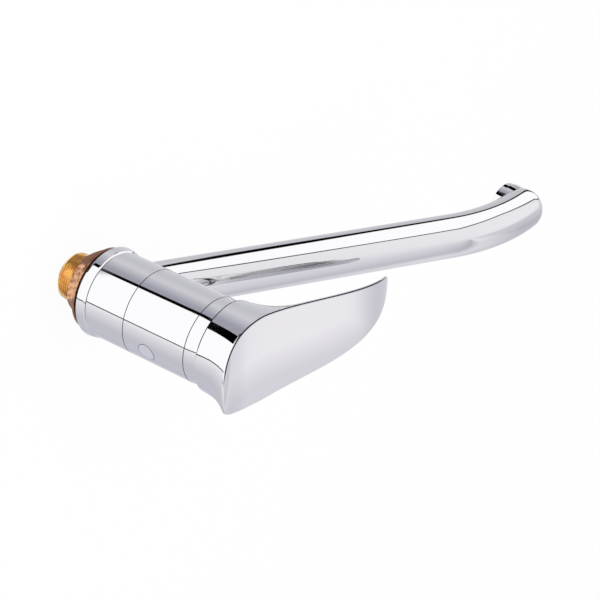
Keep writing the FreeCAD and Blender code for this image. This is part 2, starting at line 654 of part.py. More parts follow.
def swivel_spout():
    """Ring, rising tube, rounded nose and outlet stub, cast in one piece."""
    body = new_body("swivel_spout")
    path = spout_path(body)
    cast_tube = body.newObject("PartDesign::AdditivePipe", "cast_tube")
    cast_tube.Spine = path
    cast_tube.Profile = spout_sketch(body, "tube_root", -S.spout_inset,
                                     S.spout_root_half_width, S.spout_root_half_height)
    cast_tube.Sections = [spout_sketch(body, "tube_middle", S.spout_straight,
                                       S.spout_radius, S.spout_radius),
                          nose_sketch(body, "tube_end", S.spout_tip_radius)]
    cast_tube.Transformation = "Multisection"
    nose(body, "nose_ball", S.spout_tip_radius, "PartDesign::AdditiveSphere")
    outlet(body, "outlet_stub", S.stub_radius, ZERO, S.stub_drop)
    edge = S.body_radius - S.edge_break
    inside = RING_BORE - S.chamber_depth
    spin(body, "ring_wall", [
        (inside, RING_BOTTOM), (edge, RING_BOTTOM), (S.body_radius, RING_BOTTOM + S.edge_break),
        (S.body_radius, RING_TOP - S.edge_break), (edge, RING_TOP), (inside, RING_TOP)])
    below = RING_BOTTOM - S.ring_height
    spin(body, "ring_foot_trim", [
        (ZERO, below), (S.base_radius, below), (S.base_radius, RING_BOTTOM),
        (ZERO, RING_BOTTOM)], cut=True)
    spin(body, "ring_bored", [
        (ZERO, below), (RING_BORE, below), (RING_BORE, BODY_TOP), (ZERO, BODY_TOP)], cut=True)
    low = RING_MIDDLE - S.channel_width / 2
    high = RING_MIDDLE + S.channel_width / 2
    chamber = RING_BORE + S.chamber_depth
    spin(body, "ring_chamber", [(ZERO, low), (chamber, low), (chamber, high), (ZERO, high)],
         cut=True)
    waterway(body)
    return body


def waterway(body):
    """Hollow of the spout, from the ring chamber to the aerator thread."""
    path = spout_path(body)
    bore = body.newObject("PartDesign::SubtractivePipe", "waterway")
    inner = S.spout_root_half_height - S.spout_wall
    bore.Spine = path
    bore.Profile = spout_sketch(body, "waterway_root", -S.spout_wall, inner, inner)
    bore.Sections = [spout_sketch(body, "waterway_middle", S.spout_straight,
                                  S.spout_radius - S.spout_wall, S.spout_radius - S.spout_wall),
                     nose_sketch(body, "waterway_end", S.spout_tip_radius - S.spout_wall)]
    bore.Transformation = "Multisection"
    nose(body, "nose_hollow", S.spout_tip_radius - S.spout_wall, "PartDesign::SubtractiveSphere")
    past_nose = S.stub_drop + S.spout_tip_radius
    shoulder = S.stub_drop - S.stub_thread_depth
    outlet(body, "outlet_face", S.stub_radius, S.stub_drop, S.spout_tip_radius, cut=True)
    outlet(body, "outlet_bore", S.stub_thread_radius - S.aerator_wall, ZERO, past_nose, cut=True)
    outlet(body, "aerator_thread", S.stub_thread_radius, shoulder, past_nose - shoulder, cut=True)


def nose(body, name, radius, kind):
    ball = body.newObject(kind, name)
    origin = next(f for f in body.Origin.OriginFeatures if f.Role == "XY_Plane")
    ball.AttachmentSupport = [(origin, "")]
    ball.MapMode = "FlatFace"
    place(ball, x=NOSE_X, z=NOSE_Z, prop="AttachmentOffset")
    bind(ball, Radius=radius)
    return ball


def outlet(body, name, radius, start, length, cut=False):
    """Cylinder along the outlet axis, from a distance below the nose centre."""
    kind = "PartDesign::SubtractiveCylinder" if cut else "PartDesign::AdditiveCylinder"
    rod = body.newObject(kind, name)
    origin = next(f for f in body.Origin.OriginFeatures if f.Role == "XY_Plane")
    rod.AttachmentSupport = [(origin, "")]
    rod.MapMode = "FlatFace"
    reach = start + length
    rod.AttachmentOffset = Placement(Vector(), Rotation(Vector(0, 1, 0), -S.outlet_tilt.value))
    place(rod, x=NOSE_X + reach * sine(S.outlet_tilt), z=NOSE_Z - reach * cosine(S.outlet_tilt),
          prop="AttachmentOffset")
    rod.setExpression("AttachmentOffset.Rotation.Angle", (-S.outlet_tilt).text)
    bind(rod, Radius=radius, Height=length)
    return rod


def on_outlet(piece):
    """Put a piece, modelled downwards from the origin, on the outlet axis."""
    piece.Placement = Placement(Vector(), Rotation(Vector(0, 1, 0), -S.outlet_tilt.value))
    place(piece, x=NOSE_X, z=NOSE_Z)
    piece.setExpression("Placement.Rotation.Angle", (-S.outlet_tilt).text)
    return piece


def aerator_parts():
    """Housing, mesh, insert and washer of the aerator."""
    seat = -(S.stub_drop + S.fit_gap)
    mouth = seat - S.aerator_collar
    top = seat + S.aerator_grip
    thread = S.stub_thread_radius - S.fit_gap
    bore = thread - S.aerator_wall
    lip = bore - S.aerator_lip
    mesh_bottom = mouth + S.aerator_lip
    mesh_top = mesh_bottom + S.mesh_thickness
    insert = bore - S.fit_gap
    housing = turned("aerator_housing", [
        (lip, mouth), (S.aerator_radius - S.edge_break, mouth),
        (S.aerator_radius, mouth + S.edge_break), (S.aerator_radius, seat), (thread, seat),
        (thread, top), (bore, top), (bore, mesh_bottom), (lip, mesh_bottom)])
    mesh = tube("aerator_mesh", insert, ZERO, mesh_bottom, mesh_top)
    core = turned("aerator_insert", [
        (ZERO, mesh_top), (insert, mesh_top), (insert, top), (insert - S.aerator_wall, top),
        (insert - S.aerator_wall, mesh_top + S.aerator_wall), (ZERO, mesh_top + S.aerator_wall)])
    shoulder = -(S.stub_drop - S.stub_thread_depth)
    washer = tube("aerator_washer", thread, bore, top, shoulder)
    return [on_outlet(piece) for piece in (housing, mesh, core, washer)]


def cartridge_foot():
    body = turned("cartridge_foot", [
        (ZERO, SEAT), (HOUSING_BORE, SEAT), (HOUSING_BORE, FIXED_DISC_BOTTOM),
        (ZERO, FIXED_DISC_BOTTOM)])
    add_ports(body, FIXED_DISC_BOTTOM, S.foot_thickness)
    groove_out = S.port_seal_radius + S.port_seal_wire / 2 + S.fit_gap
    for name, x, y in port_places():
        drill(body, name + "_seal_seat", groove_out, SEAT, S.port_seal_wire, x, y, up=True)
    return body


def port_places():
    return (("hot", ZERO, S.inlet_offset), ("cold", ZERO, -S.inlet_offset),
            ("mixed", -S.outlet_offset, ZERO))


def add_ports(body, top, thickness):
    """The two inlet holes and the outlet hole through a cartridge piece."""
    for name, x, y in port_places():
        drill(body, f"{body.Label}_{name}", S.port_radius, top, thickness, x, y)


def port_seal(label, x, y):
    """Rubber ring between the body seat and a port of the cartridge."""
    ring = doc.addObject("Part::Torus", label)
    bind(ring, Radius1=S.port_seal_radius, Radius2=S.port_seal_wire / 2)
    place(ring, x, y, SEAT + S.port_seal_wire / 2)
    return ring


def fixed_ceramic_disc():
    radius = HOUSING_BORE - S.fit_gap
    body = turned("fixed_ceramic_disc", [
        (ZERO, FIXED_DISC_BOTTOM), (radius, FIXED_DISC_BOTTOM),
        (radius, MOVING_DISC_BOTTOM), (ZERO, MOVING_DISC_BOTTOM)])
    add_ports(body, MOVING_DISC_BOTTOM, S.disc_thickness)
    return body


def slid_plate(body, name, bottom, height):
    """Round plate about the centre of the moving disc in its closed place."""
    sketch = new_sketch(body, name + "_circle", "XY_Plane", bottom)
    circle(sketch, MOVING_DISC_RADIUS, x=-DISC_TRAVEL / 2)
    feature = body.newObject("PartDesign::Pad", name)
    feature.Profile = sketch
    bind(feature, Length=height)
    return feature


def moving_ceramic_disc():
    body = new_body("moving_ceramic_disc")
    slid_plate(body, "disc_plate", MOVING_DISC_BOTTOM, S.disc_thickness)
    hollow = rectangle(-S.mixing_pocket_back, -S.mixing_pocket_front, S.mixing_pocket_half_width)
    prism(body, "mixing_pocket", hollow, MOVING_DISC_BOTTOM, S.mixing_pocket_depth, cut=True)
    return body


def disc_carrier():
    """Plate that carries the moving disc, with its guide block and socket."""
    body = new_body("disc_carrier")
    slid_plate(body, "carrier_plate", CARRIER_BOTTOM, S.carrier_thickness)
    prism(body, "guide_block", rectangle(-S.guide_length / 2, S.guide_length / 2,
                                         S.guide_width / 2), GUIDE_BOTTOM, S.guide_height)
    drill(body, "ball_socket", S.ball_radius + S.ball_play, GUIDE_BOTTOM + S.guide_height,
          S.guide_height + S.carrier_thickness)
    return body


def rotor():
    """Turning block of the cartridge, which holds the lever pivot."""
    top = HOUSING_TOP - S.rotor_top_drop
    plate = HOUSING_BORE - S.rotor_plate_play
    stem = HOUSING_NECK_BORE - S.fit_gap
    body = turned("cartridge_rotor", [
        (ZERO, ROTOR_BOTTOM), (plate, ROTOR_BOTTOM), (plate, ROTOR_PLATE_TOP),
        (stem, ROTOR_PLATE_TOP), (stem, top), (ZERO, top)])
    reach = S.guide_length / 2 + DISC_TRAVEL + S.running_gap * 2
    window = rectangle(-S.guide_length / 2 - S.running_gap * 2, reach,
                       S.guide_width / 2 + S.running_gap)
    prism(body, "guide_window", window, ROTOR_BOTTOM, S.guide_height + S.running_gap, cut=True)
    slot = rectangle(-ROTOR_SLOT_BACK, S.rotor_slot_front, S.rotor_slot_width / 2)
    prism(body, "stem_slot", slot, ROTOR_BOTTOM, S.housing_height, cut=True)
    across(body, "pin_hole", S.pin_radius + S.fit_gap, PIN_LENGTH)
    return body


def across(body, name, radius, length):
    """Round hole through the pivot, along Y."""
    hole = body.newObject("PartDesign::SubtractiveCylinder", name)
    origin = next(f for f in body.Origin.OriginFeatures if f.Role == "XY_Plane")
    hole.AttachmentSupport = [(origin, "")]
    hole.MapMode = "FlatFace"
    hole.AttachmentOffset = Placement(Vector(), Rotation(Vector(1, 0, 0), -90))
    place(hole, y=-length / 2, z=PIVOT, prop="AttachmentOffset")
    bind(hole, Radius=radius, Height=length)
    return hole


def pivot_pin():
    pin = doc.addObject("Part::Cylinder", "pivot_pin")
    pin.Placement = Placement(Vector(), Rotation(Vector(1, 0, 0), -90))
    place(pin, y=-PIN_LENGTH / 2, z=PIVOT)
    bind(pin, Radius=S.pin_radius, Height=PIN_LENGTH)
    return pin


def lever_stem():
    """Square stem, round lower arm and drive ball, with the pin hole."""
    body = new_body("lever_stem")
    half = S.stem_width / 2
    prism(body, "stem_square", rectangle(-half, half, half), PIVOT - half,
          STEM_END - PIVOT + half)
    spin(body, "stem_arm_round", [
        (ZERO, BALL_CENTRE), (S.stem_arm_radius, BALL_CENTRE), (S.stem_arm_radius, PIVOT),
        (ZERO, PIVOT)])
    ball = body.newObject("PartDesign::AdditiveSphere", "drive_ball")
    origin = next(f for f in body.Origin.OriginFeatures if f.Role == "XY_Plane")
    ball.AttachmentSupport = [(origin, "")]
    ball.MapMode = "FlatFace"
    place(ball, z=BALL_CENTRE, prop="AttachmentOffset")
    bind(ball, Radius=S.ball_radius)
    across(body, "stem_pin_hole", S.pin_radius + S.fit_gap, PIN_LENGTH)
    return body


def cartridge_housing():
    """Plastic shell of the cartridge, open below."""
    roof = ROTOR_PLATE_TOP + S.running_gap
    return turned("cartridge_housing", [
        (HOUSING_BORE + S.fit_gap, SEAT), (HOUSING_RADIUS, SEAT), (HOUSING_RADIUS, SHOULDER),
        (HOUSING_NECK_RADIUS, SHOULDER), (HOUSING_NECK_RADIUS, HOUSING_TOP),
        (HOUSING_NECK_BORE, HOUSING_TOP), (HOUSING_NECK_BORE, roof),
        (HOUSING_BORE + S.fit_gap, roof)])


def cartridge_nut():
    """Brass nut that holds the cartridge down, with a flatted head."""
    thread = NUT_THREAD_RADIUS - S.fit_gap
    head = BODY_TOP - S.collar_seat_drop
    top = head + S.retainer_head_height
    body = turned("cartridge_nut", [
        (RETAINER_BORE, SHOULDER), (thread, SHOULDER), (thread, head),
        (RETAINER_HEAD_RADIUS, head), (RETAINER_HEAD_RADIUS, top), (RETAINER_BORE, top)])
    half = S.retainer_flats / 2
    wide = RETAINER_HEAD_RADIUS * 2
    for name, side in (("front_flat", as_size(1)), ("back_flat", as_size(-1))):
        near, far = side * half, side * wide
        prism(body, name, [(near, -wide), (far, -wide), (far, wide), (near, wide)], head,
              S.retainer_head_height, cut=True)
    return body


def dome_collar():
    """Domed ring round the lever pivot, which hides the cartridge nut."""
    inner = S.body_radius - S.dome_wall
    spigot = COLLAR_SEAT_RADIUS - S.fit_gap
    spigot_inner = spigot - S.collar_spigot_wall
    seat = BODY_TOP - S.collar_seat_drop
    foot = BODY_TOP + S.edge_break
    foot_radius = sphere_radius(S.body_radius, foot)
    return turned("dome_collar", [
        (spigot_inner, seat), (spigot, seat), (spigot, BODY_TOP),
        (foot_radius - S.edge_break, BODY_TOP), (foot_radius, foot),
        (S.dome_opening, sphere_height(S.body_radius, S.dome_opening)),
        (S.dome_opening, sphere_height(inner, S.dome_opening)),
        (spigot_inner, sphere_height(inner, spigot_inner))],
        arcs={4: PIVOT, 6: PIVOT})


def sphere_radius(radius, height):
    """Radius of a ball about the pivot at a height."""
    rise = height - PIVOT
    return root_of(radius * radius - rise * rise)


def sphere_height(radius, across_radius):
    """Height at which a ball about the pivot has a given radius."""
    return PIVOT + root_of(radius * radius - across_radius * across_radius)


def face_height_at(x):
    """Height of the lever face, a cubic along its length."""
    share = x / S.face_span.value
    return (FACE.value + S.face_rise.value * share
            + S.face_bulge.value * share ** 2 - S.face_droop.value * share ** 3)


def face_curve(start, end):
    """The cubic of the lever face between two places, as a Bezier curve."""
    third = (end - start) / 3
    span = S.face_span.value
    slopes = [(S.face_rise.value + 2 * S.face_bulge.value * x / span
               - 3 * S.face_droop.value * (x / span) ** 2) / span for x in (start, end)]
    curve = Part.BezierCurve()
    curve.setPoles([Vector(start, 0, face_height_at(start)),
                    Vector(start + third, 0, face_height_at(start) + slopes[0] * third),
                    Vector(end - third, 0, face_height_at(end) - slopes[1] * third),
                    Vector(end, 0, face_height_at(end))])
    return curve.toShape()


def leaf_edge(share):
    """Point on one half of the face outline, from the back (0) to the tip (1):
    a quarter and a quarter of an ellipse, then a cubic Bezier curve."""
    widest = S.leaf_widest.value
    half_width = S.leaf_half_width.value
    tip = S.leaf_front.value
    if share < LEAF_BACK_SHARE:
        turn = math.pi * (1 - share / LEAF_BACK_SHARE / 2)
        back = S.leaf_back.value + widest
        return widest + back * math.cos(turn), half_width * math.sin(turn)
    along = (share - LEAF_BACK_SHARE) / (1 - LEAF_BACK_SHARE)
    poles = ((widest, half_width), (widest + S.leaf_shoulder.value, half_width),
             (tip, S.leaf_tip_fullness.value), (tip, 0))
    weights = (1, 3, 3, 1)
    mix = [w * (1 - along) ** (3 - i) * along ** i for i, w in enumerate(weights)]
    return (sum(m * pole[0] for m, pole in zip(mix, poles)),
            sum(m * pole[1] for m, pole in zip(mix, poles)))


def skirt_point(share, rise):
    """Point of the lever's outside. It leaves the round rim (rise 0) upright
    and ends at the underside of the leaf's edge (rise 1). Its depth is
    measured down from the face, so that the blade keeps an even thickness."""
    edge_x, edge_y = leaf_edge(share)
    angle = math.atan2(edge_y, edge_x)
    rim_x = RIM_RADIUS.value * math.cos(angle)
    rim_y = RIM_RADIUS.value * math.sin(angle)
    spread = rise ** flare_power(angle)
    x = rim_x + spread * (edge_x - rim_x)
    y = rim_y + spread * (edge_y - rim_y)
    edge_depth = S.leaf_edge_height.value
    rim_depth = face_height_at(rim_x) - RIM.value
    depth = edge_depth + (1 - rise) * (rim_depth - edge_depth)
    return Vector(x, y, face_height_at(x) - depth)


def flare_power(angle):
    """How late the skirt flares in a direction round the axis."""
    front = max(math.cos(angle), 0) ** 2
    back = max(-math.cos(angle), 0) ** 2
    side = 1 - front - back
    return (front * S.flare_front.value + side * S.flare_side.value
            + back * S.flare_back.value)


def skirt_reach(height):
    """How far the front of the skirt is from the axis at a height."""
    low, high = 0, 1
    while high - low > SAME:
        middle = (low + high) / 2
        if skirt_point(1, middle).z < height.value:
            low = middle
        else:
            high = middle
    return as_size(round(skirt_point(1, low).x, 2))


def mirrored(half):
    """Closed row of points from the points of its left half."""
    return half + [Vector(point.x, -point.y, point.z) for point in half[-2:0:-1]]


def ring_wire(points):
    curve = Part.BSplineCurve()
    curve.interpolate(Points=points, PeriodicFlag=True,
                      Parameters=[float(i) for i in range(len(points) + 1)])
    return Part.Wire([curve.toShape()])


def lever_blank():
    """Lever without its hollow: a skirt that flares into a long leaf, with
    upright edges, cut off at the top by the curved face."""
    shares = [i / LEAF_STEPS for i in range(LEAF_STEPS + 1)]
    rings = [ring_wire(mirrored([skirt_point(share, rise) for share in shares]))
             for rise in SKIRT_RISES]
    above = FACE.value + S.face_bulge.value * 2
    top = ring_wire(mirrored([Vector(*leaf_edge(share), above) for share in shares]))
    flare = Part.makeLoft(rings, False, False)
    edge = Part.makeLoft([rings[-1], top], False, True)
    shell = Part.makeShell(flare.Faces + edge.Faces + [Part.Face(rings[0]), Part.Face(top)])
    shell.sewShape()
    blank = Part.makeSolid(shell)
    if blank.Volume < 0:
        blank.reverse()
    start = -S.leaf_back.value * 2
    end = S.leaf_front.value * 2
    curve = face_curve(start, end)
    over = above * 4
    outline = [curve, Part.makeLine(Vector(end, 0, face_height_at(end)), Vector(end, 0, over)),
               Part.makeLine(Vector(end, 0, over), Vector(start, 0, over)),
               Part.makeLine(Vector(start, 0, over), Vector(start, 0, face_height_at(start)))]
    side = Part.Face(Part.Wire(outline))
    width = S.leaf_half_width.value * 2
    side.translate(Vector(0, -width, 0))
    blank = blank.cut(side.extrude(Vector(0, width * 2, 0)))
    face = next(one for one in blank.Faces if isinstance(one.Surface, Part.SurfaceOfExtrusion))
    shape = doc.addObject("Part::Feature", "lever_shape")
    shape.Shape = blank.makeFillet(S.face_edge_radius.value, face.Edges)
    return shape


def lever_handle(blank, cover_seat):
    """Cast lever: its blank less the dome's hollow, the stem's socket and the
    screw's hole, with a boss round the stem."""
    hollow = doc.addObject("Part::Sphere", "dome_hollow")
    bind(hollow, Radius=CAVITY_RADIUS)
    place(hollow, z=PIVOT)
    boss = doc.addObject("Part::Cylinder", "stem_boss")
    bind(boss, Radius=S.boss_radius, Height=S.boss_drop * 2)
    place(boss, z=BOSS_BOTTOM)
    room = doc.addObject("Part::Cut", "boss_room")
    room.Base = hollow
    room.Tool = boss
    socket = doc.addObject("Part::Box", "stem_socket")
    wide = S.stem_width + S.socket_gap * 2
    bind(socket, Length=wide, Width=wide, Height=STEM_END + S.running_gap - BOSS_BOTTOM)
    place(socket, -wide / 2, -wide / 2, BOSS_BOTTOM)
    tools = [room, socket, along_x("grub_hole", S.grub_radius + S.fit_gap, ZERO, S.leaf_front / 2),
             along_x("cover_hole", S.cover_radius + S.fit_gap, cover_seat, S.leaf_front / 2)]
    cuts = doc.addObject("Part::MultiFuse", "lever_hollows")
    cuts.Shapes = tools
    lever = doc.addObject("Part::Cut", "lever_handle")
    lever.Base = blank
    lever.Tool = cuts
    return lever


def along_x(name, radius, start, length):
    """Rod along +X at the height of the grub screw."""
    rod = doc.addObject("Part::Cylinder", name)
    rod.Placement = Placement(Vector(), Rotation(Vector(0, 1, 0), 90))
    place(rod, start, ZERO, GRUB)
    bind(rod, Radius=radius, Height=length)
    return rod


def grub_screw():
    """Screw with a hexagon socket, whose tip bears on the stem."""
    rod = along_x("grub_rod", S.grub_radius, S.stem_width / 2, S.grub_length)
    key = doc.addObject("Part::Prism", "grub_socket")
    key.Polygon = 6
    key.Placement = Placement(Vector(), Rotation(Vector(0, 1, 0), 90))
    place(key, S.stem_width / 2 + S.grub_length - S.grub_key * 2, ZERO, GRUB)
    bind(key, Circumradius=S.grub_key, Height=S.grub_key * 3)
    screw = doc.addObject("Part::Cut", "grub_screw")
    screw.Base = rod
    screw.Tool = key
    return screw


def screw_cover(blank, cover_seat):
    """Plug over the screw, whose face follows the skirt of the lever."""
    rod = along_x("cover_rod", S.cover_radius, cover_seat + S.fit_gap, S.leaf_front / 2)
    cover = doc.addObject("Part::MultiCommon", "screw_cover")
    cover.Shapes = [rod, blank]
    return cover


def build():
    blank = lever_blank()
    cover_seat = skirt_reach(GRUB) - S.cover_length
    pieces = [base_flange(), base_gasket(), threaded_shank(), clamp_washer(), fixing_nut(),
              mixer_body(), body_plug(),
              seal_ring("lower_spout_seal", RING_MIDDLE - S.seal_spacing / 2),
              seal_ring("upper_spout_seal", RING_MIDDLE + S.seal_spacing / 2),
              glide_ring("lower_glide_ring", S.base_height, S.lower_glide),
              glide_ring("upper_glide_ring", BODY_FOOT, S.upper_glide),
              swivel_spout(), *aerator_parts(), cartridge_foot(),
              fixed_ceramic_disc(), moving_ceramic_disc(), disc_carrier(), rotor(), pivot_pin(),
              lever_stem(), cartridge_housing(), cartridge_nut(), dome_collar(),
              lever_handle(blank, cover_seat), grub_screw(), screw_cover(blank, cover_seat)]
    for name, x, y in port_places():
        pieces.append(port_seal(name + "_port_seal", x, y))
    return pieces


def check(pieces):
    doc.recompute()
    for thing in doc.Objects:
        if "Invalid" in thing.State or "Error" in thing.State:
            raise RuntimeError(f"{thing.Name} failed: {thing.State}")
    for piece in pieces:
        if piece.Shape.isNull() or not piece.Shape.isValid() or not piece.Shape.Solids:
            raise RuntimeError(f"{piece.Label} has no sound shape")


def write(pieces):
    os.makedirs("parts", exist_ok=True)
    for piece in pieces:
        piece.Shape.exportStep(os.path.join("parts", piece.Label + ".step"))
        print(f"{piece.Label:22s} {piece.Shape.Volume / 1000:9.3f} cm3 "
              f"{len(piece.Shape.Solids)} solid")


parts = build()
check(parts)
write(parts)
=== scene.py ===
# %% [markdown]
# A single-lever kitchen mixer tap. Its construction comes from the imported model, which is the fixed frame
# of this lesson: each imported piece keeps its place, and gets a finish. Pieces whose look needs more than a
# finish, such as the screw thread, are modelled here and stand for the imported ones.

# %% Load the frame
import bmesh
import bpy
import math
from mathutils import Matrix, Vector


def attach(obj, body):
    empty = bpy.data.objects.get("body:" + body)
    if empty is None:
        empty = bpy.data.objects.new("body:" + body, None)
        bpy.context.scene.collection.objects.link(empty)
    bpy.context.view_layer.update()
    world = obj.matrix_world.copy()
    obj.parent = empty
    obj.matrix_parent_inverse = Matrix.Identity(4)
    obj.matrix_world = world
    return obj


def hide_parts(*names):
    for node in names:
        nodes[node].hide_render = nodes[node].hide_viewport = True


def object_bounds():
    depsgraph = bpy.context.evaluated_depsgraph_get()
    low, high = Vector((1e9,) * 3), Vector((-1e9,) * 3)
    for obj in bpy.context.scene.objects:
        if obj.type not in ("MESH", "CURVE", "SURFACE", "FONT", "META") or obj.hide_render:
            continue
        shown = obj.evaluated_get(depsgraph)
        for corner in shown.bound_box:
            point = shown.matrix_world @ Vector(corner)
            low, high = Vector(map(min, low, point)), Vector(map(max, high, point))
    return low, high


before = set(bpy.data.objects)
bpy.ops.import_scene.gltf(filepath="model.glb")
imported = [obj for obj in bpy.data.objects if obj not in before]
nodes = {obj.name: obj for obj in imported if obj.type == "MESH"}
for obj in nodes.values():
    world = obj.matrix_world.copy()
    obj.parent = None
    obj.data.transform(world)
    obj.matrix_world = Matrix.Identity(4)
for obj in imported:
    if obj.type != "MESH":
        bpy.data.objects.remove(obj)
frame_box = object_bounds()
MM = 0.001
print(len(nodes), "packed pieces, from", frame_box[0], "to", frame_box[1])

# %% [markdown]
# The camera looks down on the tap from the side away from its spout, and is rolled far over, so that the
# body lies down in the picture and the spout runs to the right. A camera's matrix has its right, its up and
# its backward direction as columns, so three measured directions and a place set it completely. The long
# lens keeps the near handle from looking too large.

# %% Camera
CAMERA_PLACE = Vector((-629.643, 566.933, 592.931)) * MM
CAMERA_RIGHT = Vector((0.60422267, 0.02844274, 0.79630772))
CAMERA_BACK = Vector((-0.67329141, 0.5526851, 0.49113935))
LENS = 111.25
SENSOR = 36.0

camera = bpy.data.objects.new("camera", bpy.data.cameras.new("camera"))
bpy.context.scene.collection.objects.link(camera)
bpy.context.scene.camera = camera
camera.data.lens = LENS
camera.data.sensor_width = SENSOR
camera_up = CAMERA_BACK.cross(CAMERA_RIGHT)
turn = Matrix((CAMERA_RIGHT, camera_up, CAMERA_BACK)).transposed()
camera.matrix_world = Matrix.Translation(CAMERA_PLACE) @ turn.to_4x4()
print("camera at", CAMERA_PLACE, "with a", LENS, "mm lens")

# %% [markdown]
# Every material below is a small tree of shader nodes. Its colours are written as the sRGB hex values that
# a paint chart or an image editor gives. Blender works in linear light, so one function turns them to it.


# %% Colours
def colour(code):
    """Linear colour of an sRGB hex code such as 8C6A3F."""
    parts = [int(code[i:i + 2], 16) / 255 for i in (0, 2, 4)]
    linear = [c / 12.92 if c <= 0.04045 else ((c + 0.055) / 1.055) ** 2.4 for c in parts]
    return (*linear, 1)


print("the hex grey 808080 is", round(colour("808080")[0], 3), "in linear light")

# %% [markdown]
# A tree could be drawn by hand in the Shader Editor. Here one function adds a node, sets its properties,
# and fills or links its inputs, so that a tree reads from top to bottom. A node shows only the sockets that
# its settings call for, and its inputs are given in the order of these, or by name.


# %% Helpers for nodes
def connect(tree, value, socket):
    """Fill a socket with a value or a hex colour, or link it to an output or to a node's first one."""
    if isinstance(value, bpy.types.Node):
        value = next(output for output in value.outputs if output.enabled)
    if isinstance(value, bpy.types.NodeSocket):
        tree.links.new(value, socket)
    else:
        socket.default_value = colour(value) if isinstance(value, str) else value


def add(tree, kind, inputs=(), **settings):
    """Add a shader node with its settings and its inputs."""
    node = tree.nodes.new("ShaderNode" + kind)
    for name, value in settings.items():
        setattr(node, name, value)
    shown = [socket for socket in node.inputs if socket.enabled]
    pairs = inputs.items() if isinstance(inputs, dict) else enumerate(inputs)
    for place, value in pairs:
        connect(tree, value, node.inputs[place] if isinstance(place, str) else shown[place])
    return node


def new_material(name):
    """Material with the tree that Blender starts it with: a Principled shader and an output."""
    material = bpy.data.materials.new(name)
    material.use_nodes = True
    return material, material.node_tree


def set_surface(tree, inputs):
    """Give the Principled shader of a tree its inputs by name."""
    shader = tree.nodes["Principled BSDF"]
    for name, value in inputs.items():
        connect(tree, value, shader.inputs[name])


# %% [markdown]
# A finish that changes over a piece has to know where each point lies. Object coordinates give that: they
# stay on the piece when it moves, and at rest they are the places in the whole tap. Noise on the same
# coordinates has blotches of a real size in millimetres.


# %% Places on a piece
def object_place(tree):
    """X, Y and Z of a point on its piece, in metres."""
    return add(tree, "SeparateXYZ", [add(tree, "TexCoord").outputs["Object"]]).outputs


def outward(tree, place):
    """Level direction from the axis to a point."""
    flat = add(tree, "CombineXYZ", [place["X"], place["Y"], 0.0])
    return add(tree, "VectorMath", [flat], operation="NORMALIZE")


def fade(tree, value, limits, low=0, high=1):
    """Low at the first of two places in millimetres, high at the second, and even between them."""
    return add(tree, "MapRange", [value, limits[0] * MM, limits[1] * MM, low, high])


def blotches(tree, size_mm, detail):
    """Noise on a piece whose blotches have a size in millimetres."""
    return add(tree, "TexNoise", [add(tree, "TexCoord").outputs["Object"], 1 / (size_mm * MM), detail])


# %% [markdown]
# Shade lies in the fine joints between the chromed pieces, and the lower rounding of the flange is dark where
# it mirrors the ground and the shadowed gap under it. Real gaps this fine would vanish between two pixels, so
# both are drawn as thin dark lines of painted shade, and the flange's line is also a painted dark reflection.
# Each function gives 1 on its line and 0 elsewhere.

# %% Painted shade in the joints
# Colour of the painted shade in the joints, and of the painted dark reflection along the lever's edge.
PAINTED_LINE_SHADE = "2C2D33"
SEAM_HEIGHTS = (34.65, 77.0)
SEAM_HALF_WIDTH = 0.24
SEAM_RADIUS = 25.1
# Painted shade and painted dark reflection on the lower rounding of the flange.
FLANGE_PAINTED_SHADE = "101013"
FLANGE_EDGE_HEIGHT = 0.9
FLANGE_EDGE_HALF = 0.75


def seam_painted_shade_share(tree):
    """1 in the joints between ring, body and collar, which lie within the body's radius, where painted shade
    goes.
    """
    place = object_place(tree)
    across = add(tree, "Math", [place["X"], place["X"]], operation="MULTIPLY")
    reach = add(tree, "Math", [place["Y"], place["Y"], across], operation="MULTIPLY_ADD")
    inside = add(tree, "Math", [reach, (SEAM_RADIUS * MM) ** 2], operation="LESS_THAN")
    seams = [add(tree, "Math", [place["Z"], height * MM, SEAM_HALF_WIDTH * MM], operation="COMPARE")
             for height in SEAM_HEIGHTS]
    either = add(tree, "Math", seams, operation="MAXIMUM")
    return add(tree, "Math", [either, inside], operation="MULTIPLY")


def flange_painted_shade_share(tree):
    """1 on the lower rounding of the flange, where painted shade and a painted dark reflection go."""
    return add(tree, "Math", [object_place(tree)["Z"], FLANGE_EDGE_HEIGHT * MM, FLANGE_EDGE_HALF * MM],
               operation="COMPARE")


print("joints at", SEAM_HEIGHTS, "mm over the underside of the flange")

# %% [markdown]
# The plug in the side of the body is flush with it. Its chrome is painted lighter than the body's, a painted
# highlight, and the fine gap round it is drawn in painted shade. The gap is a ring, so it is found by the
# distance from the plug's own axis, which points sideways out of the body.

# %% Painted highlight and shade of the plug
# The plug's chrome is painted lighter as a painted highlight, and its gap gets painted shade.
PLUG_PAINTED_HIGHLIGHT = "F2F2F5"
PLUG_GAP_PAINTED_SHADE = "9A9BA2"
PLUG_TURN = -165.0
PLUG_HEIGHT = 50.7
PLUG_GAP_RADIUS = 5.4
PLUG_GAP_HALF_WIDTH = 0.22


def plug_gap_painted_shade_share(tree):
    """1 in the fine gap round the body's plug, where painted shade goes."""
    place = object_place(tree)
    a = math.radians(PLUG_TURN)
    part = add(tree, "Math", [place["Y"], math.cos(a)], operation="MULTIPLY")
    sideways = add(tree, "Math", [place["X"], -math.sin(a), part], operation="MULTIPLY_ADD")
    upwards = add(tree, "Math", [place["Z"], PLUG_HEIGHT * MM], operation="SUBTRACT")
    square = add(tree, "Math", [sideways, sideways], operation="MULTIPLY")
    square = add(tree, "Math", [upwards, upwards, square], operation="MULTIPLY_ADD")
    distance = add(tree, "Math", [square], operation="SQRT")
    return add(tree, "Math", [distance, PLUG_GAP_RADIUS * MM, PLUG_GAP_HALF_WIDTH * MM],
               operation="COMPARE")


print("plug at", PLUG_HEIGHT, "mm, turned", PLUG_TURN, "degrees from the spout")
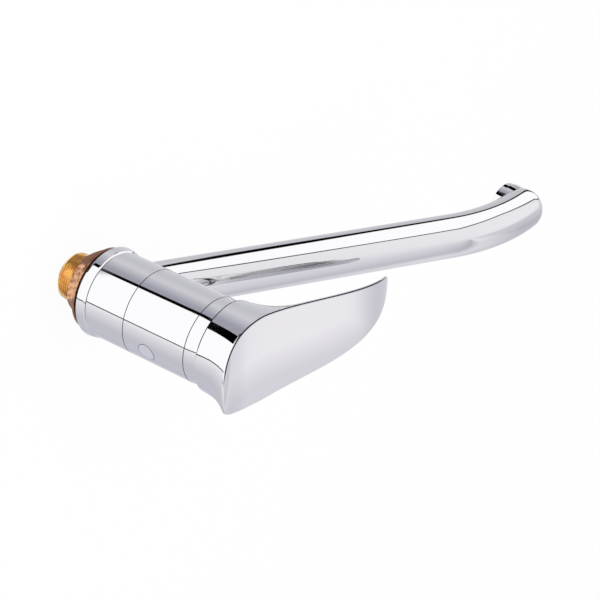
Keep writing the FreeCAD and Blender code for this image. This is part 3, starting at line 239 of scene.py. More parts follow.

# %% [markdown]
# The face of the lever is a cubic curve along its length. How far a point lies under that curve tells what it
# belongs to: the face itself, the rounding round it, the skirt, or the underside of the blade. One side and
# the tip of the face get painted shade, the rounding and the rim get thin painted dark lines, and the
# underside is only brushed before it is plated.

# %% Places on the lever
CHROME_COLOUR = "E6E6E7"
FACE_HEIGHT = 107.7
FACE_SPAN = 65.2
FACE_TERMS = (-16.0, 25.0, 7.2)
FACE_DEPTH = 0.8
EDGE_DEPTH = 0.45
EDGE_HALF_WIDTH = 0.33
EDGE_FADE = (6, 13)
RIM_HEIGHT = 86.5
RIM_HALF_WIDTH = 0.28
# Painted shade on one side and on the tip of the lever's face.
FACE_PAINTED_SHADE = "CBCACF"
FACE_SHADE_SHARE = 0.8
SIDE_FADE = (3, -16)
TIP_FADE = (60, 85)
UNDERSIDE_DEPTH = 2.5
UNDERSIDE_FADE = (8, 30)


def depth_below_face(tree, place):
    """How far a point lies under the cubic curve of the lever's face, in millimetres."""
    along = add(tree, "Math", [place["X"], FACE_SPAN * MM], operation="DIVIDE")
    height = FACE_TERMS[0]
    for term in (*FACE_TERMS[1:], FACE_HEIGHT):
        height = add(tree, "Math", [height, along, term], operation="MULTIPLY_ADD")
    return add(tree, "Math", [place["Z"], -1 / MM, height], operation="MULTIPLY_ADD")


# Painted dark reflection on the face's rounding, and painted shade in the joint at the rim.
def lever_painted_line_share(tree):
    """1 on the rounding round one side of the face, which lies just below its curve, where a painted dark
    reflection goes, and at the rim, where painted shade goes.
    """
    place = object_place(tree)
    edge = add(tree, "Math", [depth_below_face(tree, place), EDGE_DEPTH, EDGE_HALF_WIDTH],
               operation="COMPARE")
    rim = add(tree, "Math", [place["Z"], RIM_HEIGHT * MM, RIM_HALF_WIDTH * MM], operation="COMPARE")
    either = add(tree, "Math", [edge, rim], operation="MAXIMUM")
    return add(tree, "Math", [either, fade(tree, place["Y"], EDGE_FADE)], operation="MULTIPLY")


def lever_face_painted_shade(tree):
    """Chrome with painted shade on one side and on the tip of the face."""
    place = object_place(tree)
    on_face = add(tree, "Math", [depth_below_face(tree, place), FACE_DEPTH], operation="LESS_THAN")
    side = fade(tree, place["Y"], SIDE_FADE, 0, FACE_SHADE_SHARE)
    tip = fade(tree, place["X"], TIP_FADE, 0, FACE_SHADE_SHARE)
    # The parts of the face that get painted shade.
    shaded_part = add(tree, "Math", [side, tip], operation="MAXIMUM")
    share = add(tree, "Math", [on_face, shaded_part], operation="MULTIPLY")
    return add(tree, "Mix", [share, CHROME_COLOUR, FACE_PAINTED_SHADE], data_type="RGBA")


def lever_underside(tree):
    """1 under the blade, in front of the skirt."""
    place = object_place(tree)
    under = add(tree, "Math", [depth_below_face(tree, place), UNDERSIDE_DEPTH],
                operation="GREATER_THAN")
    return add(tree, "Math", [under, fade(tree, place["X"], UNDERSIDE_FADE)], operation="MULTIPLY")


print("the face is", FACE_HEIGHT, "mm high over the axis")

# %% [markdown]
# The skirt of the lever, the collar and the flange are polished on a lathe, which leaves smooth rings. The
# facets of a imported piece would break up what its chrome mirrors, so its normal is drawn towards that of a
# plain cone round the axis: one whose slope is given as lean, or an upright cylinder where lean is 0.

# %% Lathe-polished normals
SKIRT_CONE = (-0.10, 0.75, (5, 30))
COLLAR_CONE = (0.0, 0.95)
FLANGE_CONE = (0.02, 0.9)


def cone_normal(tree, lean, share, skirt_fade=None):
    """Normal drawn by a share towards a cone's. With skirt_fade it is only that of the lever's skirt,
    and fades between these two lengths in front of the axis."""
    place = object_place(tree)
    leaned = add(tree, "VectorMath", [outward(tree, place), (0, 0, lean)], operation="ADD")
    cone = add(tree, "VectorTransform", [leaned], vector_type="NORMAL", convert_from="OBJECT",
               convert_to="WORLD")
    if skirt_fade:
        under = add(tree, "Math", [depth_below_face(tree, place), FACE_DEPTH], operation="GREATER_THAN")
        share = add(tree, "Math", [under, fade(tree, place["X"], skirt_fade, share, 0)],
                    operation="MULTIPLY")
    facet = add(tree, "NewGeometry").outputs["Normal"]
    mixed = add(tree, "Mix", [share, facet, cone], data_type="VECTOR")
    return add(tree, "VectorMath", [mixed], operation="NORMALIZE")


print("the skirt's cone leans", SKIRT_CONE[0], "to 1")

# %% [markdown]
# Chrome plate is a hard, bright layer under a thousandth of a millimetre thick over polished brass. It hides
# nothing: each slow wave of the hand polishing bends the reflections. So the finish is a metal with almost no
# roughness, a faint smear where cloths have rubbed it, and a very shallow, wide bump. The spout gets painted
# shade on one side where it bends level.

# %% Polished chrome
POLISH_WAVE = 14.0
POLISH_DEPTH = 0.05
WIPE_SIZE = 22.0
WIPE_ROUGHNESS = (0.02, 0.06)
BRUSHED_ROUGHNESS = 0.3
# Painted shade on one side of the spout's bend, and where it fades in.
SPOUT_PAINTED_SHADE = "BDBDC2"
SPOUT_SHADE_SIDE_FADE = (6, 0)
SPOUT_SHADE_BEND_FADE = (155, 205)


def spout_painted_shade(tree):
    """Chrome with painted shade on one side of the bend."""
    place = object_place(tree)
    side = fade(tree, place["Y"], SPOUT_SHADE_SIDE_FADE)
    share = add(tree, "Math", [side, fade(tree, place["X"], SPOUT_SHADE_BEND_FADE)], operation="MULTIPLY")
    return add(tree, "Mix", [share, CHROME_COLOUR, SPOUT_PAINTED_SHADE], data_type="RGBA")


def polished_chrome(name, dark_share, dark=PAINTED_LINE_SHADE, clean=CHROME_COLOUR, painted_shading=None, cone=None,
                    rough=None):
    """Chrome plate that is dark where dark_share says so: painted shade in joints and gaps, painted dark
    reflection on edges. clean is its colour elsewhere, unless a function for painted shade paints that, cone
    is what cone_normal takes, and rough says where it is only brushed."""
    material, tree = new_material(name)
    # A function for painted shade, when given, paints the colour in place of clean.
    clean = painted_shading(tree) if painted_shading else clean
    shade = add(tree, "Mix", [dark_share(tree), clean, dark], data_type="RGBA")
    roughness = add(tree, "MapRange", [blotches(tree, WIPE_SIZE, 4), 0.35, 0.75, *WIPE_ROUGHNESS])
    if rough:
        roughness = add(tree, "Math", [rough(tree), BRUSHED_ROUGHNESS, roughness],
                        operation="MULTIPLY_ADD")
    bump = add(tree, "Bump", {"Height": blotches(tree, POLISH_WAVE, 1), "Strength": 0.25,
                              "Distance": POLISH_DEPTH * MM})
    if cone:
        connect(tree, cone_normal(tree, *cone), bump.inputs["Normal"])
    set_surface(tree, {"Base Color": shade, "Metallic": 1.0, "Roughness": roughness, "Normal": bump})
    return material


print("polishing waves are", POLISH_WAVE, "mm long")

# %% [markdown]
# Bare brass goes brown with time, and its stains are a little rougher than the clean metal. One noise gives
# the stain's place, colour, roughness and height together, as a real stain has them. On the nut, every side
# but the lit flat that faces the camera also gets the stain's colour and roughness, as painted shade.

# %% Bare brass
# The turn of the nut's lit flat, and how the painted shade on its other sides grows.
LIT_FLAT_TURN = 147.5
SIDE_SHADE_SHARE = 0.75
SIDE_SHADE_STARTS = 0.88
SIDE_SHADE_IS_FULL = 0.82


def shaded_far_sides(tree):
    """The share of painted shade, on every side of the nut but the lit flat that faces the camera. Its limits
    are cosines.
    """
    a = math.radians(LIT_FLAT_TURN)
    facing = add(tree, "VectorMath", [outward(tree, object_place(tree)), (math.cos(a), math.sin(a), 0)],
                 operation="DOT_PRODUCT")
    return add(tree, "MapRange", [facing, SIDE_SHADE_STARTS, SIDE_SHADE_IS_FULL, 0, SIDE_SHADE_SHARE])


def stained_brass(name, clean, stain, blotch_mm, rough_low, rough_high, bump_mm, far_side_shade=None):
    """Bare brass with darker stains. Where it is stained it is also rougher."""
    material, tree = new_material(name)
    height = blotches(tree, blotch_mm, 5)
    share = add(tree, "MapRange", [height, 0.42, 0.68, 0, 1])
    if far_side_shade:
        # Painted shade on the nut's far sides joins the stains here.
        share = add(tree, "Math", [share, far_side_shade(tree)], operation="MAXIMUM")
    shade = add(tree, "Mix", [share, clean, stain], data_type="RGBA")
    roughness = add(tree, "MapRange", [share, 0, 1, rough_low, rough_high])
    bump = add(tree, "Bump", {"Height": height, "Strength": 0.4, "Distance": bump_mm * MM})
    set_surface(tree, {"Base Color": shade, "Metallic": 1.0, "Roughness": roughness, "Normal": bump})
    return material


print("the clean flat faces", LIT_FLAT_TURN, "degrees from the spout")

# %% [markdown]
# The other finishes are one colour over a fine grain. The grain's size and depth and the range of the
# roughness tell a moulded plastic, a rubber, a ground ceramic and a plated steel apart.


# %% Plain finishes
def plain(name, code, metallic, rough_low, rough_high, grain_mm, bump_mm):
    """Finish with one colour, whose roughness and surface vary over a grain of a real size."""
    material, tree = new_material(name)
    grain = blotches(tree, grain_mm, 3)
    roughness = add(tree, "MapRange", [grain, 0.3, 0.7, rough_low, rough_high])
    bump = add(tree, "Bump", {"Height": grain, "Strength": 0.3, "Distance": bump_mm * MM})
    set_surface(tree, {"Base Color": code, "Metallic": metallic, "Roughness": roughness, "Normal": bump})
    return material


FINISHES = {
    # Chrome plate on polished brass: a clear mirror, with hardly a colour of its own, and painted shade in
    # its joints.
    "polished_chrome": polished_chrome("polished_chrome", seam_painted_shade_share),
    # Brass as it comes off the lathe: bright yellow, with a short gleam along every thread.
    "bright_brass": stained_brass("machined_brass", "F4D090", "DFA766", 5.0, 0.16, 0.3, 0.02),
    # Brass that has lain in the open: pink and brown in patches, and duller, with painted shade on the nut's
    # far sides.
    "oxidised_brass": stained_brass("oxidised_brass", "D9A985", "85583E", 3.0, 0.26, 0.42, 0.08,
                                    far_side_shade=shaded_far_sides),
    # Nitrile rubber, moulded: near black and matt.
    "rubber": plain("nitrile_rubber", "1B1B1D", 0.0, 0.55, 0.7, 0.5, 0.02),
    # Acetal, moulded and slippery, with a soft sheen. Its black is partly the rings' own colour and partly
    # painted shade for the dark groove that they sit in.
    "glide_plastic": plain("black_acetal", "1A1A1E", 0.0, 0.35, 0.45, 0.6, 0.01),
    # The same plastic without a dye: milky white with a soft sheen.
    "aerator_plastic": plain("white_acetal", "D9D9D9", 0.0, 0.35, 0.45, 0.6, 0.01),
    # Polyamide, moulded with glass fibre: light grey and a little duller.
    "cartridge_plastic": plain("polyamide", "C4C7CC", 0.0, 0.35, 0.5, 0.6, 0.01),
    # Alumina, lapped flat until two discs seal: ivory with a clear gloss.
    "alumina": plain("lapped_alumina", "F0EBE0", 0.0, 0.08, 0.14, 0.8, 0.002),
    # Steel with a thin coat of zinc: grey and satin.
    "zinc_steel": plain("zinc_plated_steel", "A9ABB0", 1.0, 0.25, 0.4, 0.9, 0.01),
    # Stainless wire: grey, with small glints.
    "mesh_steel": plain("stainless_mesh", "9A9B9E", 1.0, 0.25, 0.35, 0.4, 0.01),
    # Plastic with a chrome coat: a mirror that is a little soft.
    "cover_plastic": plain("chromed_plastic", "B9BAC0", 1.0, 0.1, 0.2, 1.0, 0.005),
}
print(len(FINISHES), "finishes")

# %% [markdown]
# Five chromed pieces have places that the others lack: the lever with its painted shade, painted dark lines
# and brushed underside, the collar with its lathe-polished rings, the flange with its lathe-polished rings
# and painted shade on its rounding, the plug with its painted highlight and the painted shade of its gap, and
# the spout with its painted shade. One chrome for all would need a mask for each, so each piece gets a chrome
# of its own.

# %% Chrome of single pieces
OWN_CHROME = {
    "lever_handle": polished_chrome("lever_chrome", lever_painted_line_share, painted_shading=lever_face_painted_shade,
                                    cone=SKIRT_CONE, rough=lever_underside),
    "dome_collar": polished_chrome("collar_chrome", seam_painted_shade_share, cone=COLLAR_CONE),
    "body_plug": polished_chrome("plug_chrome", plug_gap_painted_shade_share, dark=PLUG_GAP_PAINTED_SHADE, clean=PLUG_PAINTED_HIGHLIGHT),
    "base_flange": polished_chrome("flange_chrome", flange_painted_shade_share, dark=FLANGE_PAINTED_SHADE,
                                   cone=FLANGE_CONE),
    "swivel_spout": polished_chrome("spout_chrome", seam_painted_shade_share, painted_shading=spout_painted_shade),
}
print(len(OWN_CHROME), "pieces have chrome of their own")

# %% [markdown]
# Every piece now gets its finish. Pieces with chrome of their own are listed under the chrome, and get their
# own.

# %% Give each piece its finish
SLOT_NODES = {
    "polished_chrome": ("base_flange", "mixer_body", "body_plug", "swivel_spout", "aerator_housing",
                        "dome_collar", "lever_handle"),
    "bright_brass": ("threaded_shank", "cartridge_nut"),
    "oxidised_brass": ("fixing_nut",),
    "rubber": ("base_gasket", "lower_spout_seal", "upper_spout_seal", "hot_port_seal",
               "cold_port_seal", "mixed_port_seal", "aerator_washer"),
    "glide_plastic": ("lower_glide_ring", "upper_glide_ring"),
    "cartridge_plastic": ("cartridge_foot", "disc_carrier", "cartridge_rotor", "cartridge_housing"),
    "aerator_plastic": ("aerator_insert",),
    "alumina": ("fixed_ceramic_disc", "moving_ceramic_disc"),
    "zinc_steel": ("clamp_washer", "pivot_pin", "lever_stem", "grub_screw"),
    "mesh_steel": ("aerator_mesh",),
    "cover_plastic": ("screw_cover",),
}

for slot, names in SLOT_NODES.items():
    for name in names:
        nodes[name].data.materials.clear()
        nodes[name].data.materials.append(OWN_CHROME.get(name, FINISHES[slot]))
print(sum(len(names) for names in SLOT_NODES.values()), "pieces have a finish")

# %% [markdown]
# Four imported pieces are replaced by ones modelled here, on the same sizes. A turned piece is an outline of
# radius and height that is spun round the axis: that is how a lathe makes it, and Spin does the same. A
# piece that stands for a packed one takes over its material, and moves with the body that it rides on.

# %% Helpers for pieces
MERGE_GAP = 0.01


def spin_outline(shape, outline, steps):
    """Turn a closed outline of (radius, height) in millimetres round the Z axis."""
    corners = [shape.verts.new((radius * MM, 0, height * MM)) for radius, height in outline]
    edges = [shape.edges.new(pair) for pair in zip(corners, corners[1:] + corners[:1])]
    bmesh.ops.spin(shape, geom=corners + edges, axis=(0, 0, 1), cent=(0, 0, 0), angle=math.tau,
                   steps=steps, use_merge=True)


def new_object(name, shape):
    """Object made of a bmesh and linked to the scene."""
    made = bpy.data.objects.new(name, bpy.data.meshes.new(name))
    shape.to_mesh(made.data)
    shape.free()
    bpy.context.scene.collection.objects.link(made)
    return made


def add_piece(name, shape, stands_for, body, crease=35):
    """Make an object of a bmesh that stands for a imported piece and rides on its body."""
    bmesh.ops.recalc_face_normals(shape, faces=shape.faces)
    piece = new_object(name, shape)
    piece.data.polygons.foreach_set("use_smooth", [True] * len(piece.data.polygons))
    piece.data.set_sharp_from_angle(angle=math.radians(crease))
    piece.data.materials.append(nodes[stands_for].data.materials[0])
    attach(piece, body)
    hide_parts(stands_for)
    print(name, "has", len(piece.data.polygons), "faces")


# %% [markdown]
# The spout is one brass casting: a ring, a tube that rises at 33 degrees and bends level, a round nose and
# an outlet stub. A curve with a bevel could make the tube, but the long black line that it mirrors shows
# every facet, so it is built from even cross-sections that are bridged.

# %% Sizes of the spout
SPOUT_RISE = 33.0
SPOUT_STRAIGHT = 175.0
SPOUT_BEND = 97.0
SPOUT_ROOT = Vector((25.0, 0, 21.1))
TUBE_RADIUS = 12.9
NOSE = Vector((224.598, 0, 132.061))
NOSE_RADIUS = 12.7
OUTLET_TILT = 11.0
outlet_frame = (Matrix.Translation(NOSE * MM) @ Matrix.Rotation(math.radians(-OUTLET_TILT), 4, "Y"))
print("the spout reaches", NOSE.x, "mm from the axis to the middle of its nose")

# %% [markdown]
# Each cross-section is a circle with 96 corners, set square to the tube. Near the ring it is stretched to an
# oval, along the bend it turns with the tube, and the last ones shrink along a ball to close the nose.

# %% Cross-sections of the tube
FIRST_SECTION = 10
SECTION_SPACING = 15
CURVE_STEPS = 16
TUBE_SIDES = 96
OVAL_LENGTH = 189.0
OVAL_WIDER = 1.6
OVAL_FLATTER = 1.9


def cross_section(shape, centre, slope, half_width, half_height):
    """One oval ring of the tube, square to its slope. Returns its corners and edges."""
    t = math.radians(slope)
    axes = (Vector((0, half_width, 0)), Vector((-math.sin(t), 0, math.cos(t))) * half_height,
            Vector((math.cos(t), 0, math.sin(t))))
    matrix = Matrix.Translation(centre * MM) @ (Matrix(axes).transposed() * MM).to_4x4()
    corners = bmesh.ops.create_circle(shape, segments=TUBE_SIDES, radius=1, matrix=matrix)["verts"]
    return corners, list({edge for corner in corners for edge in corner.link_edges})


def tube_sections():
    """Centre, slope, half width and half height of each cross-section, from the ring to the nose."""
    t = math.radians(SPOUT_RISE)
    for reach in (0, *range(FIRST_SECTION, round(SPOUT_STRAIGHT) + 1, SECTION_SPACING)):
        left = (SPOUT_STRAIGHT - reach) / OVAL_LENGTH
        centre = SPOUT_ROOT + Vector((math.cos(t), 0, math.sin(t))) * reach
        yield (centre, SPOUT_RISE, TUBE_RADIUS + OVAL_WIDER * left ** 1.4,
               TUBE_RADIUS - OVAL_FLATTER * left ** 2)
    for step in range(1, CURVE_STEPS + 1):
        share = step / CURVE_STEPS
        turn = math.radians(SPOUT_RISE * (1 - share))
        back = Vector((-math.sin(turn), 0, math.cos(turn) - 1)) * SPOUT_BEND
        radius = TUBE_RADIUS + (NOSE_RADIUS - TUBE_RADIUS) * share
        yield NOSE + back, SPOUT_RISE * (1 - share), radius, radius
    for step in range(1, CURVE_STEPS + 1):
        turn = math.radians(90 * step / CURVE_STEPS)
        radius = max(NOSE_RADIUS * math.cos(turn), 0.001)
        yield NOSE + Vector((NOSE_RADIUS * math.sin(turn), 0, 0)), 0, radius, radius


shape = bmesh.new()
sections = [cross_section(shape, *section) for section in tube_sections()]
print(len(sections), "cross-sections with", TUBE_SIDES, "corners each")

# %% [markdown]
# Bridge Loops joins each cross-section to the next one. The first one is then laid along the inside of the
# ring's wall and closed with a cap, so that no edge of the tube shows outside.

# %% Tube
WALL_MIDDLE = 22.5

for (_, before), (_, after) in zip(sections, sections[1:]):
    bmesh.ops.bridge_loops(shape, edges=before + after)
root, root_edges = sections[0]
slope = math.tan(math.radians(SPOUT_RISE))
for corner in root:
    inward = math.sqrt((WALL_MIDDLE * MM) ** 2 - corner.co.y ** 2) - corner.co.x
    corner.co += Vector((inward, 0, inward * slope))
root_cap = bmesh.ops.edgeloop_fill(shape, edges=root_edges)["faces"]
middle = bmesh.ops.poke(shape, faces=root_cap)["verts"][0]
middle.co.x = WALL_MIDDLE * MM
bmesh.ops.remove_doubles(shape, verts=shape.verts, dist=MERGE_GAP * MM)
print("the tube has", len(shape.faces), "faces")

# %% [markdown]
# The nose is opened where the outlet stub leaves it, so that one can look up into the aerator. The stub and
# the ring are turned pieces, and the stub leans with the outlet.

# %% Outlet and ring
OUTLET_DEPTH = 7.5
OUTLET_RADIUS = 10.4
STUB = ((10.0, -1.0), (11.8, -1.0), (11.8, -10.4), (11.6, -10.6), (10.0, -10.6))
RING_WALL = ((20.0, 7.6), (24.8, 7.6), (25.0, 7.8), (25.0, 34.4), (24.8, 34.6), (20.0, 34.6))
RING_STEPS = 160

opening = []
for face in shape.faces:
    spot = outlet_frame.inverted() @ face.calc_center_median() / MM
    if spot.z < -OUTLET_DEPTH and math.hypot(spot.x, spot.y) < OUTLET_RADIUS:
        opening.append(face)
bmesh.ops.delete(shape, geom=opening, context="FACES")
stub = bmesh.new()
spin_outline(stub, STUB, TUBE_SIDES)
bmesh.ops.transform(stub, matrix=outlet_frame, verts=stub.verts)
stub_mesh = bpy.data.meshes.new("stub")
stub.to_mesh(stub_mesh)
stub.free()
shape.from_mesh(stub_mesh)
spin_outline(shape, RING_WALL, RING_STEPS)
add_piece("spout_casting", shape, "swivel_spout", "spout")

# %% [markdown]
# The shank carries an M28 x 1.5 thread. A bump in the material would leave its outline smooth, so it is
# modelled: a thread is one tooth profile, turned and lifted by the pitch for each turn, which Spin does when
# it gets a step along the axis. It is cut square at both ends, and its start is chamfered, as a turner would.

# %% Threaded shank
THREAD_PITCH = 1.5
THREAD_TOOTH = ((14.0, 0), (14.0, 0.19), (13.08, 0.66), (13.08, 1.03), (14.0, 1.5))
SHANK_BOTTOM = -24.3
THREAD_TOP = 2.0
THREAD_START = 12.7
SHANK_TUBE = ((11.4, -24.3), (12.7, -24.3), (13.04, -23.9), (13.04, 2.0), (14.0, 2.0), (14.0, 13.7),
              (11.4, 13.7))
STEPS_PER_TURN = 72

turns = math.ceil((THREAD_TOP - SHANK_BOTTOM) / THREAD_PITCH) + 1
shape = bmesh.new()
corners = [shape.verts.new((radius * MM, 0, (SHANK_BOTTOM - THREAD_PITCH + height) * MM))
           for radius, height in THREAD_TOOTH]
edges = [shape.edges.new(pair) for pair in zip(corners, corners[1:])]
bmesh.ops.spin(shape, geom=corners + edges, axis=(0, 0, 1), cent=(0, 0, 0),
               angle=math.tau * turns, steps=STEPS_PER_TURN * turns,
               dvec=(0, 0, THREAD_PITCH * MM / STEPS_PER_TURN), use_merge=False)
bmesh.ops.remove_doubles(shape, verts=shape.verts, dist=MERGE_GAP * MM)
for height, below, over in ((SHANK_BOTTOM, True, False), (THREAD_TOP, False, True)):
    everything = shape.verts[:] + shape.edges[:] + shape.faces[:]
    bmesh.ops.bisect_plane(shape, geom=everything, plane_co=(0, 0, height * MM), plane_no=(0, 0, 1),
                           clear_inner=below, clear_outer=over)
for corner in shape.verts:
    reach = math.hypot(corner.co.x, corner.co.y)
    most = (THREAD_START - SHANK_BOTTOM) * MM + corner.co.z
    if reach > most:
        corner.co.xy *= most / reach
spin_outline(shape, SHANK_TUBE, STEPS_PER_TURN)
add_piece("shank_thread", shape, "threaded_shank", "fixed_body", crease=20)

# %% [markdown]
# The backnut is a casting whose edges are worn round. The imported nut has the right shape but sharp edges,
# so a copy of its mesh is merged, its flat faces are joined, and its sharp edges are bevelled.

# %% Backnut
NUT_EDGE = 0.55
SHARP_ANGLE = 18

shape = bmesh.new()
shape.from_mesh(nodes["fixing_nut"].data)
bmesh.ops.remove_doubles(shape, verts=shape.verts, dist=0.002 * MM)
bmesh.ops.dissolve_limit(shape, angle_limit=math.radians(0.5), verts=shape.verts, edges=shape.edges)
sharp = [edge for edge in shape.edges if edge.calc_face_angle(0) > math.radians(SHARP_ANGLE)]
bmesh.ops.bevel(shape, geom=sharp, offset=NUT_EDGE * MM, segments=3, profile=0.5, affect="EDGES",
                material=-1, clamp_overlap=True)
add_piece("worn_backnut", shape, "fixing_nut", "nut")

# %% [markdown]
# The mouth of the aerator is closed by a mesh of crossing wires. A grid of squares is turned into wires by
# the Wireframe operator, and leaned with the outlet. Real wires are finer: these are as coarse as shows.

# %% Aerator mesh
MESH_RADIUS = 8.35
MESH_HEIGHT = -13.45
MESH_SPACING = 1.0
WIRE = 0.32

shape = bmesh.new()
cells = 2 * math.ceil(MESH_RADIUS / MESH_SPACING)
bmesh.ops.create_grid(shape, x_segments=cells, y_segments=cells, size=cells / 2 * MESH_SPACING * MM)
outside = [face for face in shape.faces if face.calc_center_median().length > MESH_RADIUS * MM]
bmesh.ops.delete(shape, geom=outside, context="FACES")
for corner in shape.verts:
    if corner.co.length > MESH_RADIUS * MM:
        corner.co *= MESH_RADIUS * MM / corner.co.length
bmesh.ops.translate(shape, verts=shape.verts, vec=(0, 0, MESH_HEIGHT * MM))
bmesh.ops.wireframe(shape, faces=shape.faces, thickness=WIRE * MM, use_replace=True,
                    use_boundary=True, use_even_offset=True)
bmesh.ops.transform(shape, matrix=outlet_frame, verts=shape.verts)
add_piece("aerator_wires", shape, "aerator_mesh", "spout")

# %% [markdown]
# The picture has a pure white ground. The floor is a large white plane just under the tap. Seen by the
# camera, most of its light is plain white and the rest still takes the tap's shadow. Light Path tells the
# two kinds of ray apart, and mirrors and glass count as the camera does.

# %% Floor
FLOOR_RADIUS = 4.0
FLOOR_GAP = 0.5
FLOOR_SHADOW_SHARE = 0.06
WHITE = "FFFFFF"


def empty_tree(owner):
    """Node tree of a material or a world, with nothing in it yet."""
    owner.use_nodes = True
    owner.node_tree.nodes.clear()
    return owner.node_tree


def seen_directly(tree):
    """1 for a ray from the camera or by way of a mirror or glass, else 0."""
    rays = add(tree, "LightPath").outputs
    mirrored = add(tree, "Math", [rays["Is Camera Ray"], rays["Is Glossy Ray"]], operation="MAXIMUM")
    return add(tree, "Math", [mirrored, rays["Is Transmission Ray"]], operation="MAXIMUM")


floor_z = frame_box[0].z - FLOOR_GAP * MM
shape = bmesh.new()
bmesh.ops.create_circle(shape, cap_ends=True, segments=64, radius=FLOOR_RADIUS)
bmesh.ops.translate(shape, verts=shape.verts, vec=(0, 0, floor_z))
floor = new_object("floor", shape)
floor.visible_glossy = False

paper = bpy.data.materials.new("white_paper")
tree = empty_tree(paper)
matt = add(tree, "BsdfDiffuse", {"Color": "F4F4F4"})
glow = add(tree, "Emission", [WHITE, 1.0])
share = add(tree, "Math", [seen_directly(tree), 1 - FLOOR_SHADOW_SHARE], operation="MULTIPLY")
add(tree, "OutputMaterial", {"Surface": add(tree, "MixShader", [share, matt, glow])})
floor.data.materials.append(paper)
print("floor at", round(floor_z / MM, 1), "mm")

# %% [markdown]
# The world behind the tap is plain white to the camera, and a little darker as a light, so that the shadow
# on the floor keeps some depth. Standard is the view transform that leaves white as white.

# %% World
SKY_STRENGTH = 0.8

world = bpy.data.worlds.new("world")
bpy.context.scene.world = world
tree = empty_tree(world)
sky = add(tree, "Background", [WHITE, SKY_STRENGTH])
ground = add(tree, "Background", [WHITE, 1.0])
add(tree, "OutputWorld", {"Surface": add(tree, "MixShader", [seen_directly(tree), sky, ground])})
bpy.context.scene.view_settings.view_transform = "Standard"
print("the sky lights the tap at", SKY_STRENGTH)

# %% [markdown]
# Chrome shows nothing but its surroundings, so the studio is the finish. The tap stands in a round light
# tent of pale lavender cloth. One part of it is a large bright window with a thick black border below and
# to its right, and a thin dark seam above and to its left: on the body, these are the white stripe, the
# black line and the fine grey line. The cloth is painted by direction: azimuth runs round the tap from its
# spout and elevation runs up from the horizon, both in degrees. Each outline is a curve of elevation
# against azimuth, and an elevation of 90 or -90 puts it out of sight.

# %% Outlines of the window
FIRST_AZIMUTH = -60
WINDOW_SHADE = "FBFAFB"
WINDOW_BOTTOM = ((-60, 90), (-8, 90), (-4, -3), (0, -7), (10, -9), (30, -12.5), (40, -16.5),
                 (48, -16.5), (60, -12), (66, -8.5), (70, -5.5), (84, -3), (90, -15), (97, -24),
                 (99.3, -29), (99.7, -36.2), (121, -36.8), (122, -90), (181, -90), (182.5, -42),
                 (184.6, -36), (185.2, 90), (300, 90))
WINDOW_TOP = ((-60, -90), (-6, -90), (-3, 2), (10, 14), (22, 19), (33, 22), (51, 21), (60, 26), (76, 33),
              (87, 34), (99, 37), (120, 38), (184, 40), (186, -90), (300, -90))
BORDER_SHADE = "020203"
BORDER_BOTTOM = ((-60, 90), (-12, 90), (-8, -12), (0, -15), (10, -17.5), (30.5, -18.5), (33.5, -24.5),
                 (40, -28), (48, -26.5), (60, -19.5), (66, -15), (70, -12), (78, -12), (85, -20),
                 (91.5, -30), (92.3, -36.4), (100.3, -37), (101, -90), (183.5, -90), (185, -42),
                 (187.2, -36), (187.8, 90), (300, 90))
TOP_SEAM_SHADE = "4A4A52"
TOP_SEAM = ((-60, -90), (-8, -90), (-5, 5), (10, 17.5), (22, 22.5), (33, 25.5), (51, 24.5), (60, 29.5),
            (76, 36.5), (87, 37.5), (99, 40.5), (120, 41.5), (186.4, 43.5), (188.4, -90), (300, -90))
TABLE_SHADE = "08080A"
TABLE_EDGE = ((-60, -58), (0, -54), (50, -52), (80, -52), (94, -54), (130, -60), (200, -62),
              (240, -64), (262, -62), (300, -58))
print("the window has", len(WINDOW_BOTTOM), "points below and", len(WINDOW_TOP), "above")

# %% [markdown]
# The cloth is not even, which is what gives each side of the tap its own grey. One row of shades runs round
# the tent low down and one high up, and the cloth fades from one to the other between two elevations.

# %% Shades of the cloth
LOW_CLOTH = ((-60, "C2C2CA"), (-35, "CCCCD1"), (0, "C4C4CA"), (27, "BDBDC3"), (54, "C9C9CE"),
             (84, "9A9BA6"), (95, "9A9BA6"), (187, "E6E5E9"), (200, "D6D5DB"), (225, "C0BFC7"),
             (240, "BCBCC4"), (254, "BEBEC7"), (273, "B6B7C2"), (300, "C2C2CA"))
LOW_CLOTH_ENDS = -18.0
HIGH_CLOTH = ((-60, "E8E6EA"), (-45, "E5E4E8"), (-37, "D9D8DE"), (-20, "D6D5DB"), (-7, "CFCED6"),
              (2, "E2E1E5"), (8, "E8E7EA"), (90, "E5E4E7"), (130, "E3E3E6"), (230, "D8D8DE"),
              (262, "CCCBD3"), (280, "BBBAC2"), (292, "E8E7EA"), (300, "E8E6EA"))
HIGH_CLOTH_STARTS = 32.4
print("the cloth has", len(LOW_CLOTH), "shades low down and", len(HIGH_CLOTH), "high up")

# %% [markdown]
# An outline becomes a Float Curve node and a row of shades a Color Ramp. Both want numbers from 0 to 1, so
# azimuth is counted as a share of the full turn and elevation as a share of the way from straight down to
# straight up.


# %% Curves and ramps
def round_share(azimuth):
    """Azimuth as a share of the full turn, from the first one."""
    return (azimuth - FIRST_AZIMUTH) / 360


def height_share(elevation):
    """Elevation as a share of the way from straight down to straight up."""
    return elevation / 180 + 0.5


def outline_curve(tree, azimuth, points):
    """Elevation of an outline at an azimuth, both as shares."""
    node = add(tree, "FloatCurve", {"Value": azimuth})
    curve = node.mapping.curves[0]
    for _ in points[2:]:
        curve.points.new(0, 0)
    for knot, (around, height) in zip(curve.points, points):
        knot.location = (round_share(around), height_share(height))
        knot.handle_type = "VECTOR"
    node.mapping.update()
    return node


